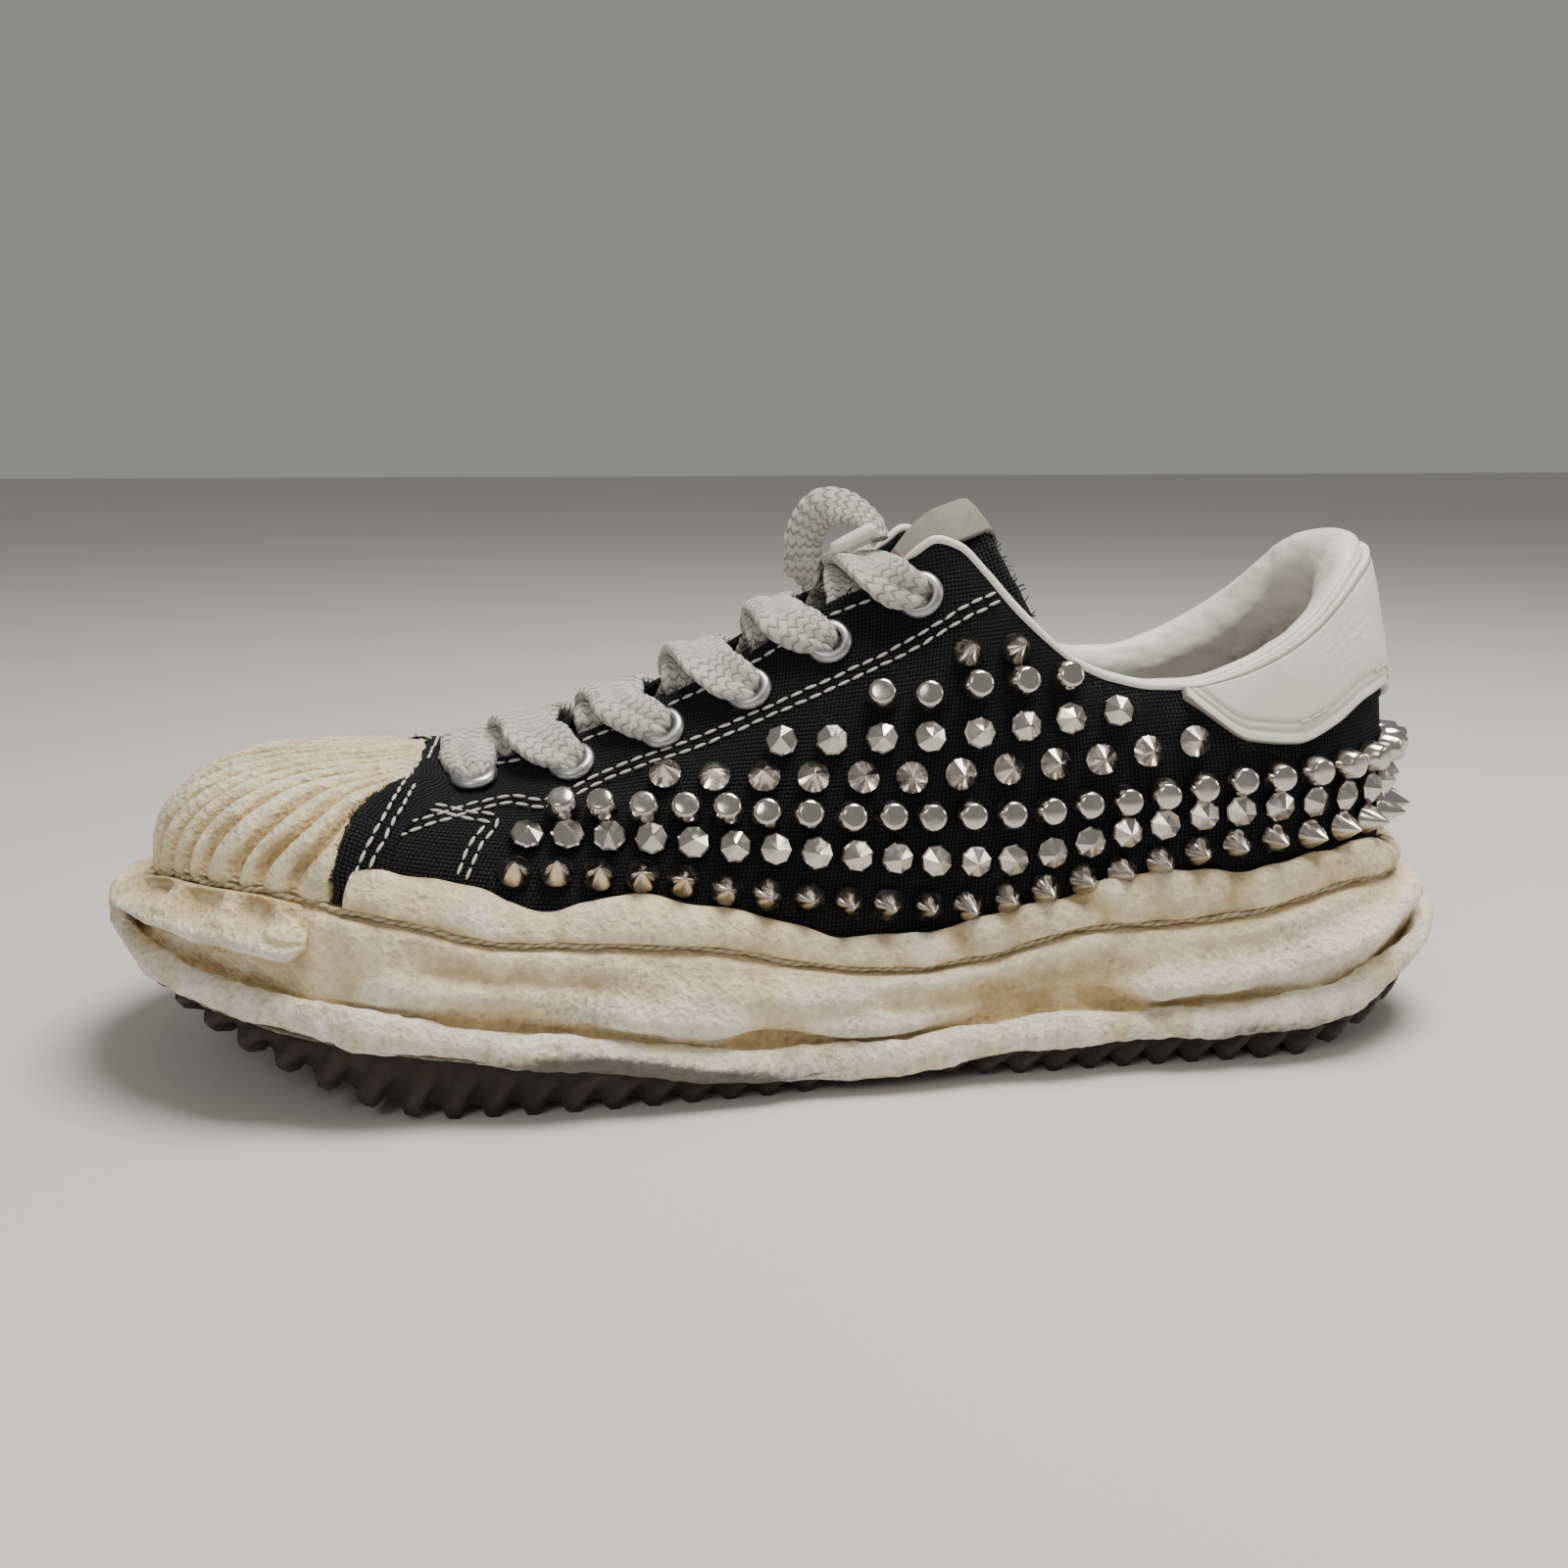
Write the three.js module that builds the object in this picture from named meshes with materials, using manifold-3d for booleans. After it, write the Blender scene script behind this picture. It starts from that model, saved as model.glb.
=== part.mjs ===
// A worn low-top canvas sneaker for the left foot, on a thick hand-shaped sole with a flared lip.
// Millimetres. X runs along the shoe with the toe at -X, the outer side faces -Y, and Z is up.
// Every form is a loft through columns that run round the shoe: column angle 0 is the toe tip,
// half a turn is the back of the heel, and the outer side lies between them.
import * as THREE from "three";
import { mergeVertices } from "three/addons/utils/BufferGeometryUtils.js";
import Module from "manifold-3d";

const wasm = await Module();
wasm.setup();

// ---- driving dimensions ----
const COLUMNS = 56; // columns round the shoe
const GAP = 0.35; // air between touching pieces
const WALL = 2.2; // canvas and its lining
const TOE_X = -147; // base of the upper, outside
const HEEL_X = 147.5;
const THROAT_X = -82; // front of the lacing gap
const COLLAR_X = 138.5; // back of the topline
const CAP_THICK = 2.7; // toe cap leather
const TAB_THICK = 1.5; // heel tab leather
const LIP_GROW = 14; // how far the sole's lip stands out from the upper's base
const INSOLE_THICK = 3;
const TONGUE_THICK = 2.6;
const EYELETS = [-75.2, -53, -32.4, -12.5, 5.8, 26.4]; // x of each pair
const EYELET_EDGE = 9.5; // eyelet centre to the edge of the throat
const EYELET_HOLE = 3.3;
const LACE_WIDE = 10.5;
const LACE_THICK = 3;

// ---- small mathematics ----
const point = (x, y, z) => new THREE.Vector3(x, y, z);
const clamp01 = (v) => Math.min(1, Math.max(0, v));
const mix = (a, b, t) => a + (b - a) * t;
const ease = (from, to, v) => {
  const t = clamp01((v - from) / (to - from));
  return t * t * (3 - 2 * t);
};

// A smooth curve through a few [x, value] stations that never overshoots them.
function curve(stations) {
  const steps = stations.slice(1).map(([x, v], i) => (v - stations[i][1]) / (x - stations[i][0]));
  const slopes = stations.map((_, i) => {
    const before = steps[i - 1] ?? steps[0];
    const after = steps[i] ?? steps[steps.length - 1];
    return before * after <= 0 ? 0 : (2 * before * after) / (before + after);
  });
  return (x) => {
    const last = stations.length - 1;
    if (x <= stations[0][0]) return stations[0][1];
    if (x >= stations[last][0]) return stations[last][1];
    const i = stations.findIndex(([to]) => to > x) - 1;
    const [x0, v0] = stations[i];
    const [x1, v1] = stations[i + 1];
    const w = x1 - x0;
    const t = (x - x0) / w;
    const rise = t * t * (3 - 2 * t);
    return mix(v0, v1, rise) + w * (slopes[i] * t * (1 - t) ** 2 - slopes[i + 1] * t * t * (1 - t));
  };
}

// ---- outlines and heights along the shoe ----
const OUTER_HALF = curve([
  [TOE_X, 49], [-100, 50], [-70, 48.5], [-40, 46.5], [0, 42.5], [40, 39], [80, 37], [HEEL_X, 36],
]);
const INNER_HALF = curve([
  [TOE_X, 45], [-100, 46], [-65, 45.5], [-30, 41], [0, 37], [40, 34.5], [80, 35], [HEEL_X, 36],
]);
const AXIS = curve([[TOE_X, 5], [-95, 2], [-50, 0], [HEEL_X, 0]]);
const TOP_HALF = curve([
  [THROAT_X, 13], [-60, 13], [-30, 14], [0, 16], [20, 18], [30, 20.5], [45, 25], [60, 28.5], [85, 31],
  [COLLAR_X, 31],
]);
const BED_Z = curve([
  [TOE_X, 42.5], [-125, 39], [-105, 35], [-80, 30.5], [-55, 28], [0, 27], [40, 30], [90, 35], [HEEL_X, 38],
]);
const TOP_Z = curve([
  [THROAT_X, 67], [-60, 72.3], [-33, 83], [-13, 93], [6, 104.8], [17, 109.5], [25, 115.5], [30.5, 119],
  [35.5, 117.5], [41.5, 111.5], [47.5, 104.5], [54.5, 97.5], [62, 91.5], [70, 88], [80, 86], [88, 86],
  [98, 88.5], [109, 93.5], [118, 99.5], [125, 106], [131, 112], [COLLAR_X, 116.5],
]);
// The groove between the band and the midsole, the top of the band, and the edge of the lip.
const SEAM_Z = curve([
  [TOE_X, 43.5], [-137, 48], [-120, 48.5], [-108, 47], [-91, 43.5], [-70, 37.7], [-46, 36], [-25, 34],
  [-2, 28.5], [21, 25.8], [39, 27.6], [64, 33], [81, 33.2], [97, 34], [113, 37.5], [127, 40], [HEEL_X, 38.5],
]);
const FOXING_Z = curve([
  [-108, 53.5], [-90, 52], [-76, 49], [-68, 45], [-59, 43.3], [-41, 45.5], [-24, 42.5], [-4, 36.7],
  [6, 33.5], [20, 33], [42, 36.7], [58, 40], [73, 44], [88, 45], [98, 43.9], [117, 47], [130, 48.5],
  [HEEL_X, 44.5],
]);
const LIP_Z = curve([
  [-163, 33], [-150, 27.5], [-134, 24], [-120, 21.5], [-98, 17], [-71, 12.5], [-54, 10.5], [-35, 7],
  [-22, 4.6], [13, 3], [50, 6.5], [91, 7], [114, 7.5], [131, 11], [145, 17], [162, 24],
]);
// The plane where the tread is stuck on, and the tread's own underside, flat at forefoot and heel.
const UNDER_Z = curve([
  [TOE_X, 29], [-120, 22.5], [-84, 16.5], [-54, 13], [-25, 9.5], [13, 8.5], [110, 10.5], [131, 14],
  [HEEL_X, 20],
]);
const TREAD_Z = curve([
  [-150, 25], [-128, 15.5], [-108, 7.5], [-92, 1.8], [-78, 0], [-10, 0], [20, 2], [55, 0], [112, 0],
  [130, 4], [145, 10.5], [155, 15],
]);

// How a width closes in a round end: 0 at the end, 1 from the given radius on.
const roundEnd = (distance, radius) =>
  distance >= radius ? 1 : (1 - (1 - Math.max(0, distance) / radius) ** 2.25) ** (1 / 2.25);

// The outline of the upper's base at a column, and the way out of the shoe there.
function outline(angle) {
  const x = mix(TOE_X, HEEL_X, (1 - Math.cos(angle)) / 2);
  const outer = Math.sin(angle) >= 0;
  const half = (outer ? OUTER_HALF : INNER_HALF)(x) * roundEnd(x - TOE_X, 64) * roundEnd(HEEL_X - x, 46);
  return point(x, AXIS(x) + (outer ? -half : half), BED_Z(x));
}
function outward(angle) {
  const along = outline(angle + 0.01).sub(outline(angle - 0.01));
  return point(along.y, -along.x, 0).normalize();
}

// The edge of the opening: the throat between the two rows of eyelets, and the topline round the ankle.
function opening(angle) {
  const reach = (outline(angle).x - TOE_X) / (THROAT_X - TOE_X);
  const full = (HEEL_X - TOE_X) / (THROAT_X - TOE_X);
  const softened = (e) => (e - 1 + Math.hypot(e - 1, 0.6) - (Math.hypot(1, 0.6) - 1)) / 2;
  const x = mix(THROAT_X, COLLAR_X, softened(reach) / softened(full));
  const half = TOP_HALF(x) * roundEnd(x - THROAT_X, 18) * roundEnd(COLLAR_X - x, 40);
  return point(x, (Math.sin(angle) >= 0 ? -half : half) + AXIS(x) * 0.4, TOP_Z(x));
}

// The outside of the upper: rise 0 is its base on the sole, rise 1 is the edge of the opening.
function skin(angle, rise) {
  const foot = outline(angle);
  const edge = opening(angle);
  const out = outward(angle);
  const height = edge.z - foot.z;
  const toe = ease(-50, -112, foot.x);
  const side = out.y * out.y;
  const heel = ease(15, 80, foot.x);
  const low = foot.clone().addScaledVector(out, 3 - 1.5 * heel);
  low.z += height * (0.5 + 0.52 * toe - 0.15 * heel);
  const high = edge.clone();
  high.x -= (edge.x - foot.x) * (0.3 + 0.3 * toe - 0.3 * heel);
  high.y -= (edge.y - foot.y) * (0.3 + 0.3 * toe - 0.3 * heel);
  high.addScaledVector(out, 6 * heel);
  high.z -= height * (0.16 - 0.2 * toe * (1 - 1.5 * side) + 0.06 * heel);
  return new THREE.CubicBezierCurve3(foot, low, high, edge).getPoint(rise);
}
function skinNormal(angle, rise) {
  const d = 0.004;
  const round = skin(angle + d, rise).sub(skin(angle - d, rise));
  const up = skin(angle, Math.min(1, rise + d)).sub(skin(angle, Math.max(0, rise - d)));
  return round.cross(up).normalize();
}
const skinOff = (angle, rise, offset) => skin(angle, rise).addScaledVector(skinNormal(angle, rise), offset);

// The rise at which a column reaches a height, and the point that far out from the skin there.
function riseAt(angle, z) {
  let low = 0;
  let high = 1;
  for (let i = 0; i < 24; i++) {
    const middle = (low + high) / 2;
    if (skin(angle, middle).z < z) low = middle;
    else high = middle;
  }
  return low;
}
const besideSkin = (angle, z, grow) => {
  const p = skin(angle, riseAt(angle, z)).addScaledVector(outward(angle), grow);
  p.z = z;
  return p;
};
// The column whose skin passes through a given x at a given rise, on the outer or the inner side.
function columnAt(x, rise, outer = true) {
  let low = 0;
  let high = Math.PI;
  for (let i = 0; i < 30; i++) {
    const middle = (low + high) / 2;
    if (skin(outer ? middle : -middle, rise).x < x) low = middle;
    else high = middle;
  }
  return outer ? low : -low;
}

// ---- making closed solids ----
function geometryOf(vertices, faces) {
  const geometry = new THREE.BufferGeometry();
  const numbers = vertices.flatMap((v) => [v.x, v.y, v.z]);
  geometry.setAttribute("position", new THREE.Float32BufferAttribute(numbers, 3));
  geometry.setIndex(faces.flat());
  return geometry;
}
const quad = (a, b, c, d) => [[a, b, c], [a, c, d]];

// A wall between two grids of points, front and back, each a list of columns; a loop closes on itself.
function wall(front, back, loop = false) {
  const columns = front.length;
  const rows = front[0].length;
  const vertices = [...front.flat(), ...back.flat()];
  const f = (k, j) => (k % columns) * rows + j;
  const b = (k, j) => columns * rows + (k % columns) * rows + j;
  const faces = [];
  for (let k = 0; k < columns - (loop ? 0 : 1); k++) {
    for (let j = 0; j < rows - 1; j++) {
      faces.push(...quad(f(k, j), f(k + 1, j), f(k + 1, j + 1), f(k, j + 1)));
      faces.push(...quad(b(k, j), b(k, j + 1), b(k + 1, j + 1), b(k + 1, j)));
    }
    faces.push(...quad(f(k, 0), b(k, 0), b(k + 1, 0), f(k + 1, 0)));
    faces.push(...quad(f(k, rows - 1), f(k + 1, rows - 1), b(k + 1, rows - 1), b(k, rows - 1)));
  }
  for (let j = 0; j < rows - 1 && !loop; j++) {
    const end = columns - 1;
    faces.push(...quad(f(0, j), f(0, j + 1), b(0, j + 1), b(0, j)));
    faces.push(...quad(f(end, j), b(end, j), b(end, j + 1), f(end, j + 1)));
  }
  return facingOut(geometryOf(vertices, faces));
}

// A slab from rings of points, first at the top and last underneath, closed straight across the shoe.
function slab(rings) {
  const n = rings[0].length;
  const at = (r, k) => r * n + ((k + n) % n);
  const faces = [];
  for (let r = 0; r < rings.length - 1; r++)
    for (let k = 0; k < n; k++) faces.push(...quad(at(r, k), at(r, k + 1), at(r + 1, k + 1), at(r + 1, k)));
  for (let k = 0; k < n / 2; k++) {
    const across = (r) => quad(at(r, k), at(r, -k), at(r, -k - 1), at(r, k + 1));
    const real = (triangle) => new Set(triangle).size === 3;
    faces.push(...across(0).filter(real));
    faces.push(...across(rings.length - 1).filter(real).map(([a, b, c]) => [a, c, b]));
  }
  return facingOut(geometryOf(rings.flat(), faces));
}

function facingOut(geometry) {
  const p = geometry.getAttribute("position");
  const index = geometry.index.array;
  const corner = [0, 1, 2].map(() => point(0, 0, 0));
  let volume = 0;
  for (let i = 0; i < index.length; i += 3) {
    corner.forEach((c, j) => c.fromBufferAttribute(p, index[i + j]));
    volume += corner[0].dot(corner[1].cross(corner[2]));
  }
  for (let i = 0; volume < 0 && i < index.length; i += 3)
    [index[i + 1], index[i + 2]] = [index[i + 2], index[i + 1]];
  return geometry;
}

// To manifold-3d and back, for the pieces that are joined or cut.
function toSolid(geometry) {
  const bare = new THREE.BufferGeometry().setAttribute("position", geometry.getAttribute("position"));
  if (geometry.index) bare.setIndex(geometry.index);
  const merged = mergeVertices(bare, 1e-4);
  const vertProperties = merged.attributes.position.array;
  const triVerts = new Uint32Array(merged.index.array);
  return new wasm.Manifold(new wasm.Mesh({ numProp: 3, vertProperties, triVerts }));
}
function fromSolid(solid) {
  const mesh = solid.getMesh();
  const geometry = new THREE.BufferGeometry();
  geometry.setAttribute("position", new THREE.Float32BufferAttribute(mesh.vertProperties, 3));
  geometry.setIndex([...mesh.triVerts]);
  return geometry;
}

const turns = (count) => Array.from({ length: count }, (_, k) => (2 * Math.PI * k) / count);
const steps = (from, to, count) => Array.from({ length: count + 1 }, (_, i) => mix(from, to, i / count));

// ---- the sole ----
// The uneven, hand-pressed swell of the sole's side, in millimetres, round the shoe.
const swell = (angle) => 0.9 * Math.sin(5 * angle + 0.6) + 0.6 * Math.sin(9 * angle + 2);

// The midsole's side from the seam down to the top of the lip, as [share of that height, distance out].
const SIDE = [[0, 5.4], [0.4, 7.2], [0.8, 8], [1, 8.6]];
const TOE_TUCK = 1.9; // how far the side draws in round the toe
function sidePoint(angle, share, grow) {
  const base = outline(angle);
  const tucked = grow - TOE_TUCK * ease(-90, -125, base.x) * (1 - share);
  const z = mix(SEAM_Z(base.x), LIP_Z(base.x) + 8, share);
  const p = share === 0 ? besideSkin(angle, z, tucked) : base.addScaledVector(outward(angle), tucked + 1.2);
  p.z = z;
  return p;
}
function midsole() {
  const ring = (make) => turns(COLUMNS).map(make);
  const cup = (share) =>
    ring((a) => {
      const base = outline(a);
      return besideSkin(a, mix(base.z, SEAM_Z(base.x), share), GAP + 0.25);
    });
  const side = ([share, grow]) => ring((a) => sidePoint(a, share, grow + (share ? 0.6 * swell(a) : 0)));
  const lip = (inset, lift) =>
    ring((a) => {
      const p = outline(a).addScaledVector(outward(a), LIP_GROW - inset + 0.5 * swell(a));
      p.z = LIP_Z(p.x) + lift;
      return p;
    });
  const under = ring((a) => {
    const p = outline(a).addScaledVector(outward(a), 8);
    p.z = UNDER_Z(p.x);
    return p;
  });
  const edge = [lip(1.5, 6.2), lip(0, 3.4), lip(1.8, 0.4)];
  return slab([cup(0), cup(0.5), cup(1), ...SIDE.map(side), ...edge, under]);
}

// The tread: a rim of fins round a field that is flat under the forefoot and the heel.
const FIN_DEEP = 3.4;
function outsole() {
  const fins = turns(2 * COLUMNS);
  const ring = (grow, height) =>
    fins.map((a, k) => {
      const p = outline(a).addScaledVector(outward(a), grow);
      p.z = height(p.x, k % 2);
      return p;
    });
  const top = (x) => UNDER_Z(x) - 2.5 * GAP;
  return slab([
    ring(7, top),
    ring(9.6, (x) => mix(top(x), TREAD_Z(x), 0.3)),
    ring(10, (x, groove) => Math.min(mix(top(x), TREAD_Z(x), 0.4), TREAD_Z(x) + 0.5 + FIN_DEEP * groove)),
    ring(0, (x, groove) => TREAD_Z(x) + FIN_DEEP * 0.7 * groove),
    ring(-9, (x) => TREAD_Z(x)),
  ]);
}

// The soft band round the foot of the canvas, from one end of the toe cap round the heel to the other.
const CAP_FOOT_X = -101; // where the toe cap's edge meets the band
function foxing() {
  const first = columnAt(CAP_FOOT_X + 1.5, 0.2);
  const between = turns(COLUMNS).filter((a) => a > first + 0.03 && a < 2 * Math.PI - first - 0.03);
  const angles = [first, ...between, 2 * Math.PI - first];
  const shares = [0, 0.4, 0.85, 1];
  const thick = [5.2, 6, 4.3, 2.2];
  const side = (grow) =>
    angles.map((a) =>
      shares.map((share, j) => {
        const x = outline(a).x;
        return besideSkin(a, mix(SEAM_Z(x) + GAP, FOXING_Z(x), share), grow(a, j));
      }),
    );
  return wall(
    side((a, j) => thick[j] + 0.35 * swell(2 * a)),
    side(() => GAP + 0.25),
  );
}

// The bumper: a thick strip that laps over the front of the midsole under the toe cap.
const BUMPER_X = -106;
function toeBumper() {
  const end = columnAt(BUMPER_X, 0.1);
  const angles = steps(-end, end, 20);
  const shares = [0.03, 0.3, 0.52];
  const thick = [1.6, 3, 3.2];
  const at = (a, j, extra) => {
    const share = shares[j];
    const low = SIDE.findIndex(([to]) => to >= share) || 1;
    const [s0, g0] = SIDE[Math.max(0, low - 1)];
    const [s1, g1] = SIDE[low];
    const t = (share - s0) / (s1 - s0 || 1);
    return sidePoint(a, s0, g0 + (s0 ? 0.6 * swell(a) : 0))
      .lerp(sidePoint(a, s1, g1 + 0.6 * swell(a)), t)
      .addScaledVector(outward(a), extra);
  };
  return wall(
    angles.map((a) => shares.map((_, j) => at(a, j, thick[j]))),
    angles.map((a) => shares.map((_, j) => at(a, j, GAP + 0.35))),
  );
}

function insole() {
  const ring = (lift, inset) => turns(COLUMNS).map((a) => {
    const p = outline(a).addScaledVector(outward(a), -inset);
    p.z = outline(a).z + lift;
    return p;
  });
  return slab([ring(GAP + INSOLE_THICK, WALL + 2.2), ring(GAP, WALL + 1)]);
}

// ---- the upper ----
function upper() {
  const rises = steps(0.012, 1, 8);
  const grid = (offset) => turns(COLUMNS).map((a) => rises.map((r) => skinOff(a, r, offset)));
  return wall(grid(0), grid(-WALL), true);
}

// A piece that lies on the upper, between two distances from it; edges(u, v) gives its column and rise.
function overlay(across, down, edges, inner, outer) {
  const grid = (offset) =>
    steps(0, 1, across).map((u) => steps(0, 1, down).map((v) => skinOff(...edges(u, v), offset(v))));
  return wall(grid(outer), grid(inner));
}

// The toe cap's back edge crosses the shoe in front of the throat and runs forwards down both sides.
const CAP_BACK_X = -86.5;
const CAP_CORNER_RISE = 0.8;
function riseAtX(angle, x) {
  let rise = 0.3;
  while (rise < 1 && skin(angle, rise).x < x) rise += 0.005;
  return rise;
}
function toeCap() {
  const edge = (v) => columnAt(mix(CAP_FOOT_X - 1, CAP_BACK_X, v ** 2.2), mix(0.1, CAP_CORNER_RISE, v));
  const corner = edge(1);
  return overlay(
    18,
    7,
    (u, v) => {
      const across = mix(-1, 1, u);
      const foot = riseAt(across * edge(0), SEAM_Z(outline(across * edge(0)).x) + 0.6);
      const top = riseAtX(across * corner, CAP_BACK_X);
      return [across * edge(v), mix(foot, top, v)];
    },
    () => GAP + 0.4,
    (v) => CAP_THICK * (0.55 + 0.45 * Math.sin(Math.PI * clamp01(0.25 + v * 0.72))),
  );
}

// The heel tab: white leather round the back of the topline, with a scalloped lower edge.
const TAB_LOW_Z = curve([
  [84, 86], [92, 79], [99, 74], [109, 73], [118, 76.5], [127, 82], [133, 83.5], [COLLAR_X, 78],
]);
const TAB_START_X = 86;
function heelTab() {
  const start = columnAt(TAB_START_X, 1);
  return overlay(
    26,
    4,
    (u, v) => {
      const a = mix(start, 2 * Math.PI - start, u);
      const low = Math.min(TAB_LOW_Z(opening(a).x), opening(a).z - 2.5);
      return [a, mix(riseAt(a, low), 0.995, v)];
    },
    () => GAP,
    () => GAP + TAB_THICK,
  );
}

// The padded lining inside the collar: thickest at the back, and rolled over the topline.
const PAD_START_X = 50;
const PAD = curve([[50, 1], [85, 3], [115, 5.5], [COLLAR_X, 6.5]]);
const LINING_ROWS = [
  { rise: 0.45, full: 0.35, roll: 0 },
  { rise: 0.7, full: 0.8, roll: 0 },
  { rise: 0.95, full: 1, roll: 0 },
  { rise: 1, full: 0.7, roll: 0.2 },
  { rise: 1, full: 0, roll: 0.3 },
];
function collarLining() {
  const start = columnAt(PAD_START_X, 1);
  const angles = turns(COLUMNS).filter((a) => a > start && a < 2 * Math.PI - start);
  const side = (inside) =>
    angles.map((a) =>
      LINING_ROWS.map(({ rise, full, roll }, j) => {
        const pad = PAD(opening(a).x);
        const over = j === LINING_ROWS.length - 1;
        const depth = over ? 0.3 : WALL + 4 * GAP + (inside ? 1 + pad * full : 0);
        const p = skinOff(a, rise, roll && !inside && !over ? -WALL : -depth);
        if (roll) p.z += 2 * GAP + (inside ? 0.8 + pad * roll : 0);
        return p;
      }),
    );
  return wall(side(false), side(true));
}

// The tongue: an arch across the instep, which rises past the lacing and wraps the front of the ankle.
const TONGUE_Z = curve([
  [-77, 65.5], [-60, 70.5], [-33, 81], [-13, 91], [6, 102], [22, 112.5], [32, 120.5], [41, 127.5],
]);
const TONGUE_HALF = curve([[-77, 9], [-60, 15], [-33, 18], [0, 20], [22, 21], [41, 20]]);
const TONGUE_DROP = curve([[-77, 2.5], [-60, 6], [-33, 9], [0, 14], [22, 20], [41, 25]]);
function tonguePoint(x, across, lift) {
  const drop = TONGUE_DROP(x) * Math.abs(across) ** 2;
  const slope = TONGUE_Z(x + 0.5) - TONGUE_Z(x - 0.5);
  const lean = ease(0, 41, x) * (0.42 * drop + 2 * Math.abs(across));
  const p = point(x + lean, across * TONGUE_HALF(x) + AXIS(x) * 0.4, TONGUE_Z(x) - drop);
  const up = point(-slope, (2 * TONGUE_DROP(x) * across) / TONGUE_HALF(x), 1).normalize();
  return p.addScaledVector(up, lift);
}
function tongue() {
  const grid = (lift) => steps(-77, 41, 14).map((x) => steps(-1, 1, 8).map((v) => tonguePoint(x, v, lift)));
  return wall(grid(0), grid(-TONGUE_THICK));
}
const LABEL_FROM_X = 21;
const LABEL_HALF = 10.5;
function tongueLabel() {
  const grid = (lift) =>
    steps(LABEL_FROM_X, 40.6, 5).map((x) => {
      const loose = 2.4 * ease(21, 32, x) * ease(42, 34, x);
      return steps(-LABEL_HALF, LABEL_HALF, 4).map((y) => tonguePoint(x, y / TONGUE_HALF(x), lift + loose));
    });
  return wall(grid(GAP + 0.9), grid(GAP));
}

// ---- eyelets and laces ----
function eyeletSpot(x, outer) {
  let rise = 0.99;
  let angle = columnAt(x, rise, outer);
  while (skin(angle, rise).distanceTo(skin(angle, 1)) < EYELET_EDGE) {
    rise -= 0.005;
    angle = columnAt(x, rise, outer);
  }
  return { centre: skin(angle, rise), normal: skinNormal(angle, rise), angle, rise };
}
const SPOTS = [true, false].map((outer) => EYELETS.map((x) => eyeletSpot(x, outer)));
const DRILL = EYELET_HOLE + 1.15; // the hole punched for each
const EYELET_RING = [
  [EYELET_HOLE, -WALL - 0.5],
  [EYELET_HOLE + 0.6, -WALL - 0.5],
  [EYELET_HOLE + 0.6, 1],
  [6.4, 1],
  [6.3, 2],
  [5, 2.7],
  [EYELET_HOLE, 1.6],
];
function eyelet() {
  const profile = [...EYELET_RING, EYELET_RING[0]].map(([r, h]) => new THREE.Vector2(r, h));
  return new THREE.LatheGeometry(profile, 8).rotateX(Math.PI / 2);
}
function stand(geometry, { centre, normal }) {
  const turn = new THREE.Quaternion().setFromUnitVectors(point(0, 0, 1), normal);
  return geometry.applyQuaternion(turn).translate(...centre);
}
function upperWithHoles() {
  let solid = toSolid(upper());
  for (const spot of SPOTS.flat()) {
    const drill = new THREE.CylinderGeometry(DRILL, DRILL, 14, 8).rotateX(Math.PI / 2);
    solid = solid.subtract(toSolid(stand(drill, spot)));
  }
  return fromSolid(solid);
}

// A flat strand through points, each with its way up and its width.
function strand(path) {
  const line = new THREE.CatmullRomCurve3(path.map(([p]) => p), false, "centripetal");
  const grid = (half) =>
    steps(0, path.length - 1, 2 * path.length).map((place) => {
      const i = Math.min(path.length - 2, Math.floor(place));
      const t = place - i;
      const up = path[i][1].clone().lerp(path[i + 1][1], t);
      const width = LACE_WIDE * mix(path[i][2], path[i + 1][2], t);
      const along = line.getTangent(place / (path.length - 1));
      const side = along.clone().cross(up).normalize();
      const lift = side.clone().cross(along).normalize();
      return [-1, 1].map((s) =>
        line
          .getPoint(place / (path.length - 1))
          .addScaledVector(side, (s * width) / 2)
          .addScaledVector(lift, half),
      );
    });
  return wall(grid(LACE_THICK / 2), grid(-LACE_THICK / 2));
}
const UP = point(0, 0, 1);
const edgeOff = (spot, lift) => skinOff(spot.angle, 1, lift);
const aboveEyelet = (spot) => spot.centre.clone().addScaledVector(spot.normal, 4.4);
const slant = (spot) => spot.normal.clone().add(UP).normalize();
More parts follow.
